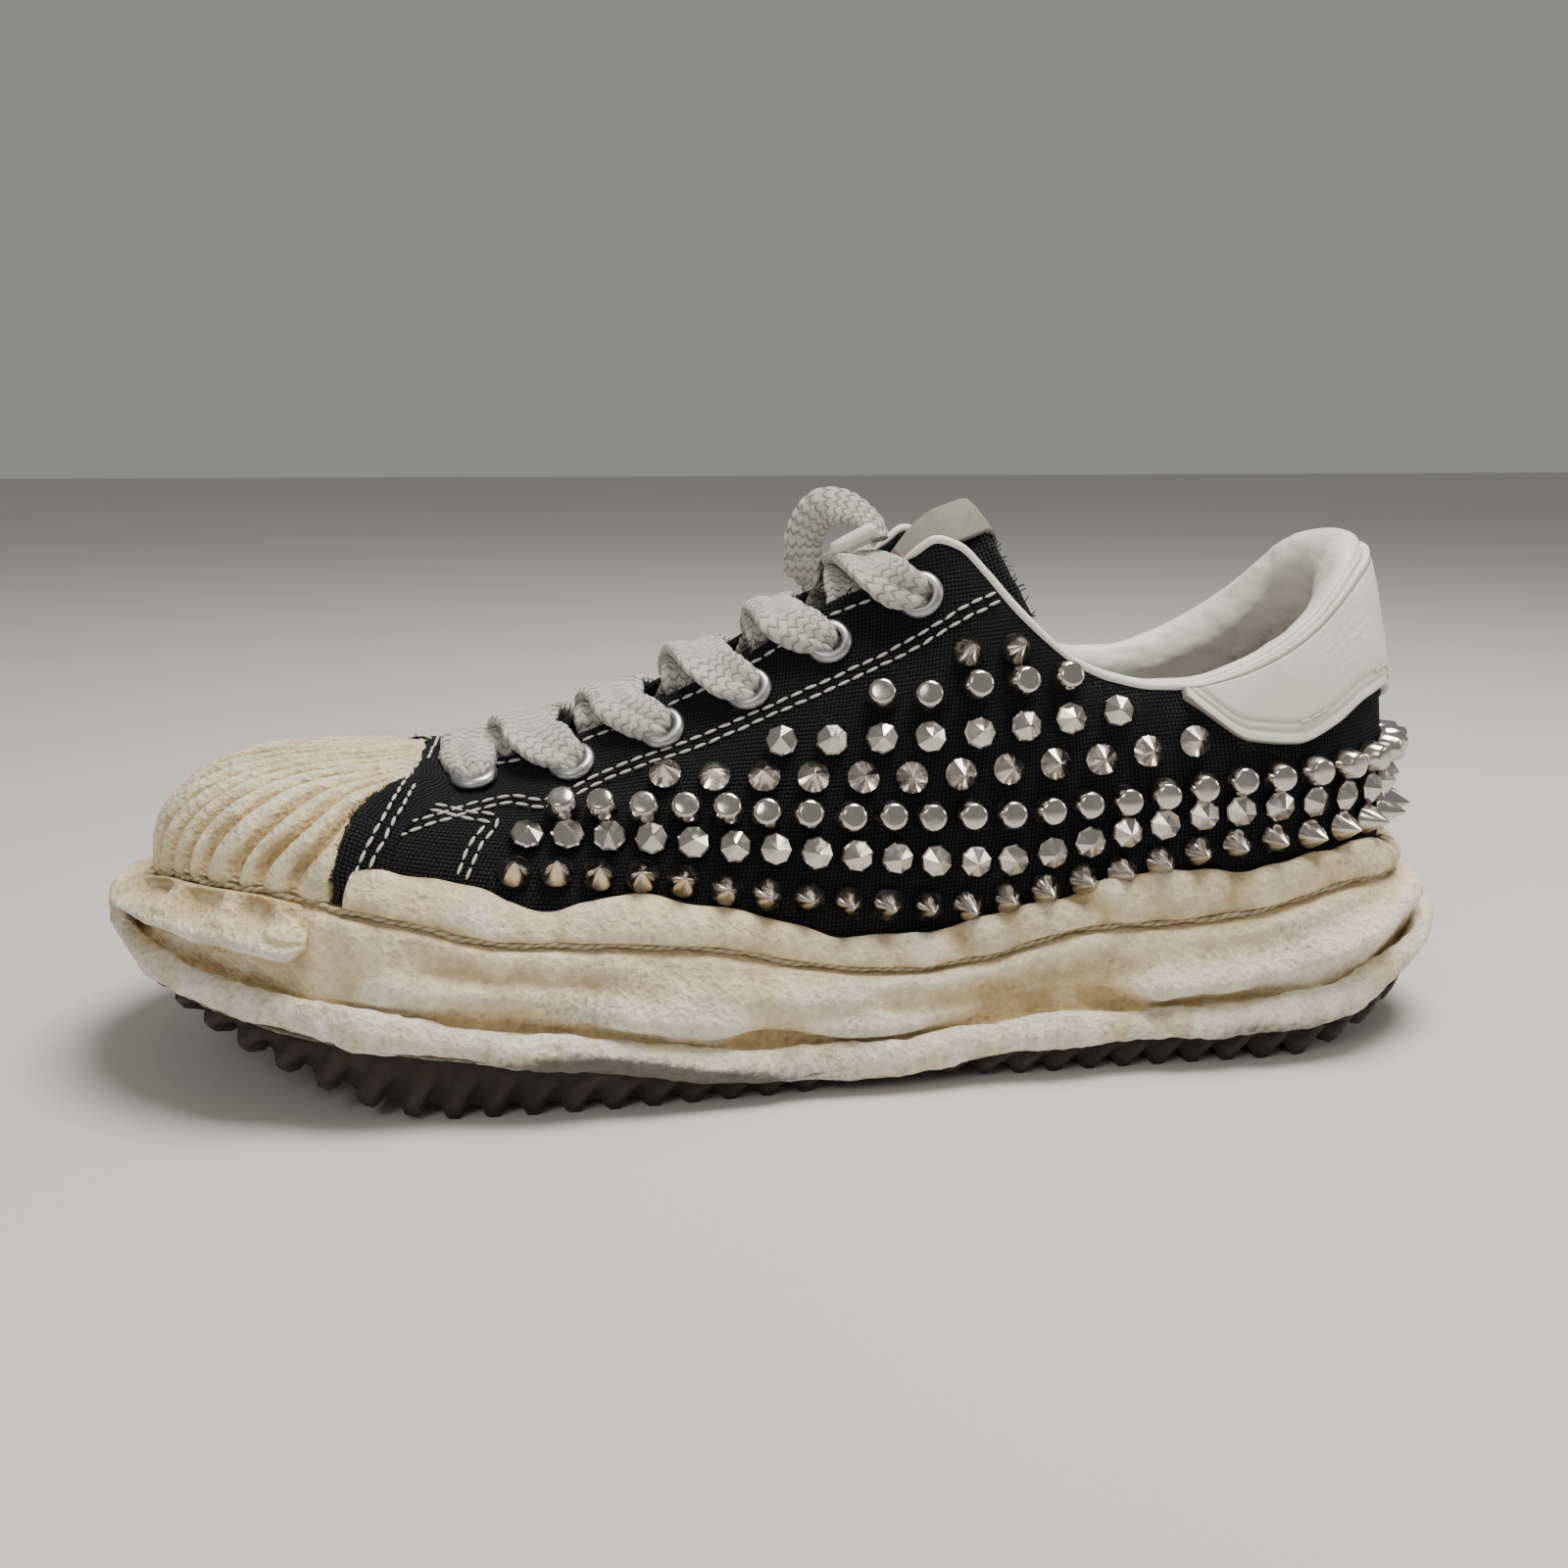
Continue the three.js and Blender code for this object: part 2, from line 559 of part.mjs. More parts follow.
// Half of a crossing: out of the throat beside one eyelet and over the tongue to the next one opposite.
function halfCrossing(from, to, lift) {
  const start = edgeOff(from, 0).lerp(edgeOff(to, 0), 0.1);
  start.y *= 0.8;
  start.z += 4.4;
  const middle = edgeOff(from, 0).add(edgeOff(to, 0)).multiplyScalar(0.5);
  middle.z += lift;
  return strand([
    [start, UP, 0.9],
    [middle, UP, 1],
    [edgeOff(to, 4.4), slant(to), 1],
    [aboveEyelet(to), to.normal, 0.7],
  ]);
}
function laces() {
  const [outer, inner] = SPOTS;
  const middle = edgeOff(outer[0], 0).add(edgeOff(inner[0], 0)).multiplyScalar(0.5);
  middle.z += 5.6;
  let joined = toSolid(
    strand([
      [aboveEyelet(outer[0]), outer[0].normal, 0.8],
      [edgeOff(outer[0], 4.4), slant(outer[0]), 1],
      [middle, UP, 1.1],
      [edgeOff(inner[0], 4.4), slant(inner[0]), 1],
      [aboveEyelet(inner[0]), inner[0].normal, 0.8],
    ]),
  );
  for (let n = 0; n < EYELETS.length - 1; n++) {
    const loose = n === EYELETS.length - 2 ? 2 : 0;
    joined = joined.add(toSolid(halfCrossing(inner[n], outer[n + 1], 6.4 - loose)));
    joined = joined.add(toSolid(halfCrossing(outer[n], inner[n + 1], 4.8 + loose)));
  }
  return fromSolid(joined);
}
// The lace's one loose end stands up beyond the last crossing, and its tip hangs back beside the label.
const LACE_END = [
  [3, 4, 113], [3.2, 3.8, 119], [7, 2, 125.5], [13, -0.5, 126], [18.5, -2.5, 122.5], [20.5, -4.5, 118.6],
];
const LACE_END_DIAMETER = 4.8;
const TIP = [[18.6, -7, 121.6], [8, -8, 116.2]];
const TIP_RADIUS = 1.7;
function laceEnd() {
  const extrudePath = new THREE.CatmullRomCurve3(LACE_END.map((p) => point(...p)), false, "centripetal");
  const round = new THREE.Shape().absarc(0, 0, LACE_END_DIAMETER / 2, 0, 2 * Math.PI);
  return new THREE.ExtrudeGeometry(round, { steps: 10, curveSegments: 4, extrudePath, bevelEnabled: false });
}
function laceTip() {
  const [from, to] = TIP.map((p) => point(...p));
  const rod = new THREE.CylinderGeometry(TIP_RADIUS, TIP_RADIUS, from.distanceTo(to), 8);
  const normal = to.clone().sub(from).normalize();
  return stand(rod.rotateX(Math.PI / 2), { centre: from.lerp(to, 0.5), normal });
}

// ---- assembly ----
const shoe = new THREE.Group();
function add(name, geometry, color, roughness, metalness = 0) {
  const mesh = new THREE.Mesh(geometry, new THREE.MeshStandardMaterial({ color, roughness, metalness }));
  mesh.name = name;
  shoe.add(mesh);
}
const CREAM = 0xcdbf9f;
const BLACK = 0x17171a;
const WHITE = 0xe6e3da;
const LACE = 0xcfcac0;
add("outsole", outsole(), 0x2b211e, 0.85);
add("midsole", midsole(), CREAM, 0.8);
add("foxing_band", foxing(), CREAM, 0.75);
add("toe_bumper", toeBumper(), CREAM, 0.8);
add("toe_cap", toeCap(), CREAM, 0.8);
add("upper", upperWithHoles(), BLACK, 0.95);
add("heel_tab", heelTab(), WHITE, 0.45);
add("collar_lining", collarLining(), WHITE, 0.5);
add("insole", insole(), 0xb9b0a2, 0.8);
add("tongue", tongue(), BLACK, 0.95);
add("tongue_label", tongueLabel(), 0x9b9a92, 0.9);
["outer", "inner"].forEach((side, row) =>
  SPOTS[row].forEach((spot, n) => add(`eyelet_${side}_${n + 1}`, stand(eyelet(), spot), 0xc9ccd0, 0.4, 0.7)),
);
add("laces", laces(), LACE, 0.95);
add("lace_end", laceEnd(), LACE, 0.95);
add("lace_tip", laceTip(), WHITE, 0.4);

export default shoe;
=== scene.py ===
"""A worn low-top canvas sneaker for the left foot, dressed round its packed CAD frame.

Forms are worked out in millimetres: X runs along the shoe with the toe at -X, the outer side faces -Y,
and Z is up. A column angle runs round the shoe: 0 is the toe tip, half a turn the back of the heel, and
the outer side lies between them. A rise runs up a column, from 0 at the sole to 1 at the opening.
"""
import math

import bmesh
import bpy
import numpy as np
from bpy.props import FloatProperty, FloatVectorProperty, IntProperty, PointerProperty
from mathutils import Matrix, Vector, noise


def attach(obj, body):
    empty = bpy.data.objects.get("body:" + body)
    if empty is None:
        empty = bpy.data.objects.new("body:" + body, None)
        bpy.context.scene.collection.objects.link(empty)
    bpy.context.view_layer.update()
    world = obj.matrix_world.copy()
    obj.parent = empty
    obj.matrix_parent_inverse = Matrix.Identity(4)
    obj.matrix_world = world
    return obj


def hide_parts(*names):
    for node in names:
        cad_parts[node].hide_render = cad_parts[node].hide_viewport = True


bl_info = {
    "name": "Worn studded sneaker",
    "version": (1, 0, 0),
    "blender": (4, 5, 0),
    "location": "View3D > Sidebar > Sneaker",
    "description": "Builds the sole, upper, laces and studs of a worn canvas sneaker round its frame",
    "category": "Add Mesh",
}

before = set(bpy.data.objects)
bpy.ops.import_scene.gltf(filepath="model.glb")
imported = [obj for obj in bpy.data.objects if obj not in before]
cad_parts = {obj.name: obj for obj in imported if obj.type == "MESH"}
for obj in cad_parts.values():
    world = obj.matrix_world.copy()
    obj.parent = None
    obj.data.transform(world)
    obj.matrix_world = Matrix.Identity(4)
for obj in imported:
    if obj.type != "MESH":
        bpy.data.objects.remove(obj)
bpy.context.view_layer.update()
MM = 0.001
HALF_TURN = math.pi
FULL_TURN = 2 * math.pi

# ---- sizes that the frame was built from ----
TOE_X = -147.0
HEEL_X = 147.5
THROAT_X = -82.0
COLLAR_X = 138.5
WALL = 2.2
LIP_GROW = 14.0
EYELETS = (-75.2, -53.0, -32.4, -12.5, 5.8, 26.4)
EYELET_EDGE = 9.5
EYELET_HOLE = 3.3
CAP_FOOT_X = -101.0
CAP_BACK_X = -86.5
CAP_CORNER_RISE = 0.8
BUMPER_X = -106.0
TAB_START_X = 86.0
LACE_END = (
    (3, 4, 113), (3.2, 3.8, 119), (7, 2, 125.5), (13, -0.5, 126), (18.5, -2.5, 122.5), (20.5, -4.5, 118.6),
)
TIP = ((18.6, -7, 121.6), (8, -8, 116.2))
TIP_RADIUS = 1.7


# ---- small mathematics on arrays ----
def mix(a, b, t):
    return a + (b - a) * t


def ease(start, end, value):
    t = np.clip((value - start) / (end - start), 0, 1)
    return t * t * (3 - 2 * t)


def length(v):
    return np.linalg.norm(v, axis=-1)


def unit(v):
    return v / np.maximum(length(v), 1e-9)[..., None]


def stack(x, y, z):
    return np.stack(np.broadcast_arrays(x, y, z), -1).astype(float)


def bell(value, centre, width):
    return np.exp(-(((value - centre) / width) ** 2))


def curve(*stations):
    """A smooth curve through a few (x, value) stations that never overshoots them."""
    xs, values = np.array(stations, float).T
    steps = np.diff(values) / np.diff(xs)
    before = np.concatenate([steps[:1], steps])
    after = np.concatenate([steps, steps[-1:]])
    same = before * after > 0
    slopes = np.where(same, 2 * before * after / np.where(same, before + after, 1), 0)

    def at(x):
        x = np.clip(x, xs[0], xs[-1])
        i = np.clip(np.searchsorted(xs, x, side="right") - 1, 0, len(xs) - 2)
        width = xs[i + 1] - xs[i]
        t = (x - xs[i]) / width
        pull = slopes[i] * t * (1 - t) ** 2 - slopes[i + 1] * t * t * (1 - t)
        return mix(values[i], values[i + 1], t * t * (3 - 2 * t)) + width * pull

    return at


def smooth_path(points, count, closed=False):
    """Evenly spaced rows along a smooth line through points; extra columns of a point are carried along."""
    p = np.array(points, float)
    if closed:
        p = np.concatenate([p[-1:], p, p[:2]])
    else:
        p = np.concatenate([2 * p[:1] - p[1:2], p, 2 * p[-1:] - p[-2:-1]])
    t = np.linspace(0, len(p) - 3, 40 * (len(p) - 3) + 1)
    i = np.minimum(t.astype(int), len(p) - 4)
    f = (t - i)[:, None]
    a, b, c, d = p[i], p[i + 1], p[i + 2], p[i + 3]
    fine = 0.5 * (2 * b + (c - a) * f + (2 * a - 5 * b + 4 * c - d) * f**2 + (3 * b - a - 3 * c + d) * f**3)
    along = np.concatenate([[0], np.cumsum(length(np.diff(fine[:, :3], axis=0)))])
    places = np.linspace(0, along[-1], count)
    return np.stack([np.interp(places, along, fine[:, k]) for k in range(p.shape[1])], -1)


def rows_between(rings, counts):
    """A grid whose rows pass smoothly through a list of rings, with counts rows from each to the next."""
    r = np.array(rings, float)
    r = np.concatenate([2 * r[:1] - r[1:2], r, 2 * r[-1:] - r[-2:-1]])
    rows = []
    for i, count in enumerate(counts):
        a, b, c, d = r[i : i + 4]
        for f in np.arange(count) / count:
            rows.append(0.5 * (2 * b + (c - a) * f + (2 * a - 5 * b + 4 * c - d) * f**2 + (3 * b - a - 3 * c + d) * f**3))
    rows.append(r[-2])
    return np.array(rows)


def lumps(points, scale, octaves=2, seed=0.0):
    """Soft noise at points, about -1 to 1, with features of about scale millimetres."""
    flat = np.asarray(points, float).reshape(-1, 3) / scale + seed
    values = [noise.fractal(p, 1.0, 2.0, octaves) for p in flat]
    return np.array(values).reshape(np.shape(points)[:-1])


# ---- outlines and heights along the shoe ----
OUTER_HALF = curve(
    (TOE_X, 49), (-100, 50), (-70, 48.5), (-40, 46.5), (0, 42.5), (40, 39), (80, 37), (HEEL_X, 36)
)
INNER_HALF = curve(
    (TOE_X, 45), (-100, 46), (-65, 45.5), (-30, 41), (0, 37), (40, 34.5), (80, 35), (HEEL_X, 36)
)
AXIS = curve((TOE_X, 5), (-95, 2), (-50, 0), (HEEL_X, 0))
TOP_HALF = curve(
    (THROAT_X, 13), (-60, 13), (-30, 14), (0, 16), (20, 18), (30, 20.5), (45, 25), (60, 28.5), (85, 31),
    (COLLAR_X, 31),
)
BED_Z = curve(
    (TOE_X, 42.5), (-125, 39), (-105, 35), (-80, 30.5), (-55, 28), (0, 27), (40, 30), (90, 35), (HEEL_X, 38)
)
TOP_Z = curve(
    (THROAT_X, 67), (-60, 72.3), (-33, 83), (-13, 93), (6, 104.8), (17, 109.5), (25, 115.5), (30.5, 119),
    (35.5, 117.5), (41.5, 111.5), (47.5, 104.5), (54.5, 97.5), (62, 91.5), (70, 88), (80, 86), (88, 86),
    (98, 88.5), (109, 93.5), (118, 99.5), (125, 106), (131, 112), (COLLAR_X, 116.5),
)
SEAM_Z = curve(
    (TOE_X, 43.5), (-137, 48), (-120, 48.5), (-108, 47), (-91, 43.5), (-70, 37.7), (-46, 36), (-25, 34),
    (-2, 28.5), (21, 25.8), (39, 27.6), (64, 33), (81, 33.2), (97, 34), (113, 37.5), (127, 40), (HEEL_X, 38.5),
)
FOXING_Z = curve(
    (-108, 53.5), (-90, 52), (-76, 49), (-68, 45), (-59, 43.3), (-41, 45.5), (-24, 42.5), (-4, 36.7), (6, 33.5),
    (20, 33), (42, 36.7), (58, 40), (73, 44), (88, 45), (98, 43.9), (117, 47), (130, 48.5), (HEEL_X, 44.5),
)
LIP_Z = curve(
    (-163, 33), (-150, 27.5), (-134, 24), (-120, 21.5), (-98, 17), (-71, 12.5), (-54, 10.5), (-35, 7),
    (-22, 4.6), (13, 3), (50, 6.5), (91, 7), (114, 7.5), (131, 11), (145, 17), (162, 24),
)
UNDER_Z = curve(
    (TOE_X, 29), (-120, 22.5), (-84, 16.5), (-54, 13), (-25, 9.5), (13, 8.5), (110, 10.5), (131, 14), (HEEL_X, 20)
)
TREAD_Z = curve(
    (-150, 25), (-128, 15.5), (-108, 7.5), (-92, 1.8), (-78, 0), (-10, 0), (20, 2), (55, 0), (112, 0),
    (130, 4), (145, 10.5), (155, 15),
)
TAB_LOW_Z = curve((84, 86), (92, 79), (99, 74), (109, 73), (118, 76.5), (127, 82), (133, 83.5), (COLLAR_X, 78))
PAD = curve((50, 1), (85, 3), (115, 5.5), (COLLAR_X, 6.5))
TONGUE_Z = curve((-77, 65.5), (-60, 70.5), (-33, 81), (-13, 91), (6, 102), (22, 112.5), (32, 120.5), (41, 127.5))
TONGUE_HALF = curve((-77, 9), (-60, 15), (-33, 18), (0, 20), (22, 21), (41, 20))
TONGUE_DROP = curve((-77, 2.5), (-60, 6), (-33, 9), (0, 14), (22, 20), (41, 25))


def round_end(distance, radius):
    left = np.clip(1 - np.maximum(0, distance) / radius, 0, 1)
    return (1 - left**2.25) ** (1 / 2.25)


def outline(angle):
    """The outline of the upper's base at a column."""
    x = mix(TOE_X, HEEL_X, (1 - np.cos(angle)) / 2)
    outer = np.sin(angle) >= 0
    half = np.where(outer, OUTER_HALF(x), INNER_HALF(x)) * round_end(x - TOE_X, 64) * round_end(HEEL_X - x, 46)
    return stack(x, AXIS(x) + np.where(outer, -half, half), BED_Z(x))


def outward(angle):
    along = outline(angle + 0.01) - outline(angle - 0.01)
    return unit(stack(along[..., 1], -along[..., 0], 0))


def opening(angle):
    """The edge of the throat and the topline at a column."""
    reach = (outline(angle)[..., 0] - TOE_X) / (THROAT_X - TOE_X)
    full = (HEEL_X - TOE_X) / (THROAT_X - TOE_X)

    def softened(e):
        return (e - 1 + np.hypot(e - 1, 0.6) - (math.hypot(1, 0.6) - 1)) / 2

    x = mix(THROAT_X, COLLAR_X, softened(reach) / softened(full))
    half = TOP_HALF(x) * round_end(x - THROAT_X, 18) * round_end(COLLAR_X - x, 40)
    return stack(x, np.where(np.sin(angle) >= 0, -half, half) + AXIS(x) * 0.4, TOP_Z(x))


def skin(angle, rise):
    """The outside of the upper."""
    angle, rise = np.broadcast_arrays(np.asarray(angle, float), np.asarray(rise, float))
    foot, edge, out = outline(angle), opening(angle), outward(angle)
    height = edge[..., 2] - foot[..., 2]
    toe = ease(-50, -112, foot[..., 0])
    heel = ease(15, 80, foot[..., 0])
    side = out[..., 1] ** 2
    low = foot + out * (3 - 1.5 * heel)[..., None]
    low[..., 2] += height * (0.5 + 0.52 * toe - 0.15 * heel)
    high = edge.copy()
    high[..., :2] -= (edge - foot)[..., :2] * (0.3 + 0.3 * toe - 0.3 * heel)[..., None]
    high += out * (6 * heel)[..., None]
    high[..., 2] -= height * (0.16 - 0.2 * toe * (1 - 1.5 * side) + 0.06 * heel)
    t = rise[..., None]
    s = 1 - t
    return foot * s**3 + low * 3 * s * s * t + high * 3 * s * t * t + edge * t**3


def skin_normal(angle, rise):
    d = 0.004
    rise = np.asarray(rise, float)
    around = skin(angle + d, rise) - skin(angle - d, rise)
    up = skin(angle, np.minimum(1, rise + d)) - skin(angle, np.maximum(0, rise - d))
    return unit(np.cross(around, up))


def skin_off(angle, rise, offset):
    return skin(angle, rise) + skin_normal(angle, rise) * np.asarray(offset, float)[..., None]


def searched(test, shape, low, high, rounds=18):
    """The place between low and high up to which test holds."""
    low, high = np.full(shape, float(low)), np.full(shape, float(high))
    for _ in range(rounds):
        middle = (low + high) / 2
        holds = test(middle)
        low, high = np.where(holds, middle, low), np.where(holds, high, middle)
    return low


def rise_at(angle, z):
    angle, z = np.broadcast_arrays(np.asarray(angle, float), np.asarray(z, float))
    return searched(lambda rise: skin(angle, rise)[..., 2] < z, angle.shape, 0, 1)


def rise_at_x(angle, x):
    angle = np.asarray(angle, float)
    return searched(lambda rise: skin(angle, rise)[..., 0] < x, angle.shape, 0.3, 1)


def beside_skin(angle, z, grow):
    p = skin(angle, rise_at(angle, z)) + outward(angle) * np.asarray(grow, float)[..., None]
    p[..., 2] = z
    return p


def column_at(x, rise, outer=True):
    sign = 1 if outer else -1
    x, rise = np.broadcast_arrays(np.asarray(x, float), np.asarray(rise, float))
    return sign * searched(lambda angle: skin(sign * angle, rise)[..., 0] < x, x.shape, 0, HALF_TURN)


def on_side(x, z, outer=True):
    """The column angle and the rise at which the upper passes through a given x and z."""
    x, z = np.broadcast_arrays(np.asarray(x, float), np.asarray(z, float))
    rise = np.full(x.shape, 0.5)
    for _ in range(8):
        angle = column_at(x, rise, outer)
        rise = mix(rise, rise_at(angle, z), 0.7)
    return angle, rise


def swell(angle):
    return 0.9 * np.sin(5 * angle + 0.6) + 0.6 * np.sin(9 * angle + 2)


def around(count):
    return np.linspace(0, FULL_TURN, count + 1)


def grid_normals(points, closed_columns=False):
    """Normals of a grid of points, rows by columns, which point away from the shoe's inside."""
    padded = points
    if closed_columns:
        padded = np.concatenate([points[:, -2:-1], points, points[:, 1:2]], 1)
    along = np.gradient(padded, axis=1)
    if closed_columns:
        along = along[:, 1:-1]
    return unit(np.cross(along, np.gradient(points, axis=0)))


# ---- pieces from grids ----
def bend_grid(bm, points, marks=None):
    """Adds a grid to bm and puts its corners at points, rows by columns, in millimetres. Its pattern
    coordinates are its own lengths in metres, and marks are numbers kept at its corners for the finishes."""
    rows, columns = points.shape[0] - 1, points.shape[1] - 1
    cloth = bm.loops.layers.uv.get("cloth") or bm.loops.layers.uv.new("cloth")
    # The soil mark holds real grime and also painted shade, such as the darkening deep inside the collar and in the toe
    # cap's valleys.
    layers = {n: bm.verts.layers.float.get(n) or bm.verts.layers.float.new(n) for n in ("relief", "rub", "soil_and_shade")}
    corners = bmesh.ops.create_grid(bm, x_segments=columns, y_segments=rows, size=0.5)["verts"]
    places = np.array([v.co[:2] for v in corners]) + 0.5
    column = np.rint(places[:, 0] * columns).astype(int)
    row = np.rint(places[:, 1] * rows).astype(int)
    across = length(np.diff(points, axis=1, prepend=points[:, :1])).cumsum(1)
    across -= across[:, columns // 2][:, None]
    up = length(np.diff(points, axis=0, prepend=points[:1])).cumsum(0)
    flat = (np.stack([across, up], -1) * MM)[row, column]
    for vert, place, spot in zip(corners, points[row, column] * MM, flat):
        vert.co = place
        for loop in vert.link_loops:
            loop[cloth].uv = spot
    for name, values in (marks or {}).items():
        values = np.broadcast_to(values, points.shape[:2])
        for vert, value in zip(corners, values[row, column]):
            vert[layers[name]] = value
    return corners


def weld(bm, distance=1e-6):
    bmesh.ops.remove_doubles(bm, verts=bm.verts, dist=distance)
    bmesh.ops.dissolve_degenerate(bm, edges=bm.edges, dist=distance / 10)


def close_ends(bm):
    open_edges = [e for e in bm.edges if e.is_boundary]
    made = bmesh.ops.holes_fill(bm, edges=open_edges, sides=0)
    bmesh.ops.triangulate(bm, faces=made["faces"])


def thick_sheet(outer, inner, marks=None):
    """A bmesh of two facing grids joined all round their edges."""
    bm = bmesh.new()
    bend_grid(bm, outer, marks)
    rows, columns = inner.shape[:2]
    plain = {name: np.zeros((rows, columns)) for name in (marks or {})}
    bend_grid(bm, inner, plain)
    bmesh.ops.bridge_loops(bm, edges=[e for e in bm.edges if e.is_boundary])
    return bm


def finished(name, bm, material, replaces=(), smooth=True, outwards=True):
    """Turns a bmesh into a piece of the shoe."""
    if outwards:
        bmesh.ops.recalc_face_normals(bm, faces=bm.faces)
    for face in bm.faces:
        face.smooth = smooth
    mesh = bpy.data.meshes.new(name)
    bm.to_mesh(mesh)
    bm.free()
    piece = bpy.data.objects.new(name, mesh)
    bpy.context.scene.collection.objects.link(piece)
    for finish in material if isinstance(material, (list, tuple)) else [material]:
        mesh.materials.append(finish)
    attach(piece, "root")
    if replaces:
        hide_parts(*replaces)
    return piece


def tube(bm, path, radius, sides=8, marks=None):
    """Adds a closed tube along a path of points in millimetres; radius may change along and around it."""
    path = np.asarray(path, float)
    tangent = unit(np.gradient(path, axis=0))
    up = np.zeros_like(path)
    up[0] = unit(np.cross(tangent[0], np.cross([0.3, 0.2, 1.0], tangent[0])))
    for i in range(1, len(path)):
        up[i] = unit(up[i - 1] - tangent[i] * np.dot(up[i - 1], tangent[i]))
    side = np.cross(tangent, up)
    turn = np.linspace(0, FULL_TURN, sides + 1)[:, None]
    size = np.broadcast_to(radius, (sides + 1, len(path)))[..., None]
    points = path + size * (np.cos(turn)[..., None] * side + np.sin(turn)[..., None] * up)
    start = len(bm.verts)
    bend_grid(bm, points, marks)
    bm.verts.ensure_lookup_table()
    fresh = bm.verts[start:]
    bmesh.ops.remove_doubles(bm, verts=fresh, dist=1e-7)


# ---- finishes ----
class Nodes:
    """Short ways to place nodes in a material or a node group."""

    def __init__(self, tree):
        self.tree = tree

    def put(self, kind, **inputs):
        node = self.tree.nodes.new(kind)
        for name, value in inputs.items():
            self.feed(node.inputs[name.replace("_", " ")], value)
        return node

    def feed(self, socket, value):
        if isinstance(value, bpy.types.NodeSocket):
            self.tree.links.new(value, socket)
        else:
            socket.default_value = value

    def sum(self, operation, a, b=0.0, c=None, clamp=False):
        node = self.tree.nodes.new("ShaderNodeMath")
        node.operation = operation
        node.use_clamp = clamp
        self.feed(node.inputs[0], a)
        self.feed(node.inputs[1], b)
        if c is not None:
            self.feed(node.inputs[2], c)
        return node.outputs[0]

    def between(self, value, low, high):
        node = self.put("ShaderNodeMapRange", Value=value, From_Min=low, From_Max=high)
        node.interpolation_type = "SMOOTHSTEP"
        return node.outputs["Result"]

    def blend(self, factor, a, b, way="MIX"):
        node = self.tree.nodes.new("ShaderNodeMix")
        node.data_type = "RGBA"
        node.blend_type = way
        self.feed(node.inputs[0], factor)
        self.feed(node.inputs[6], a)
        self.feed(node.inputs[7], b)
        return node.outputs[2]

    def grainy(self, where, scale, detail=2.0, roughness=0.5):
        node = self.put("ShaderNodeTexNoise", Vector=where, Scale=scale, Detail=detail, Roughness=roughness)
        return node.outputs["Fac"]

    def cells(self, where, scale):
        return self.put("ShaderNodeTexVoronoi", Vector=where, Scale=scale).outputs["Distance"]

    def stretched(self, where, scale):
        node = self.put("ShaderNodeMapping", Vector=where)
        node.inputs["Scale"].default_value = scale
        return node.outputs["Vector"]


def node_group(name, inputs, outputs, build):
    """A shader node group with named sockets, made once."""
    group = bpy.data.node_groups.get(name)
    if group:
        return group
    group = bpy.data.node_groups.new(name, "ShaderNodeTree")
    for label, kind, value in inputs:
        socket = group.interface.new_socket(label, in_out="INPUT", socket_type=kind)
        if value is not None:
            socket.default_value = value
    for label, kind in outputs:
        group.interface.new_socket(label, in_out="OUTPUT", socket_type=kind)
    nodes = Nodes(group)
    made = build(nodes, group.nodes.new("NodeGroupInput").outputs)
    end = group.nodes.new("NodeGroupOutput")
    for label, value in made.items():
        nodes.feed(end.inputs[label], value)
    return group


FLOAT, VECTOR, COLOUR = "NodeSocketFloat", "NodeSocketVector", "NodeSocketColor"


def hide_grain_group():
    def build(n, given):
        where, size = given["Where"], given["Size"]
        fine = n.grainy(where, n.sum("DIVIDE", 1.0, size), 3.0, 0.65)
        pores = n.cells(where, n.sum("DIVIDE", 0.55, size))
        soft = n.grainy(where, n.sum("DIVIDE", 0.12, size), 3.0, 0.6)
        height = n.sum("ADD", n.sum("MULTIPLY", fine, 0.5), n.sum("MULTIPLY", pores, 0.35))
        return {"Height": n.sum("MULTIPLY_ADD", soft, 1.1, height), "Soft": soft, "Fine": fine}

    inputs = [("Where", VECTOR, None), ("Size", FLOAT, 0.001)]
    return node_group("Hide grain", inputs, [("Height", FLOAT), ("Soft", FLOAT), ("Fine", FLOAT)], build)


def stain_group():
    def build(n, given):
        where, size, amount = given["Where"], given["Size"], given["Amount"]
        wide = n.grainy(where, n.sum("DIVIDE", 1.0, size), 4.0, 0.6)
        spots = n.grainy(where, n.sum("DIVIDE", 6.0, size), 3.0, 0.7)
        both = n.sum("MULTIPLY_ADD", spots, 0.35, n.sum("MULTIPLY", wide, 0.65))
        edge = n.sum("SUBTRACT", 0.72, n.sum("MULTIPLY", amount, 0.4))
        return {"Mask": n.between(both, edge, n.sum("ADD", edge, 0.18))}

    inputs = [("Where", VECTOR, None), ("Size", FLOAT, 0.03), ("Amount", FLOAT, 0.5)]
    return node_group("Stains", inputs, [("Mask", FLOAT)], build)


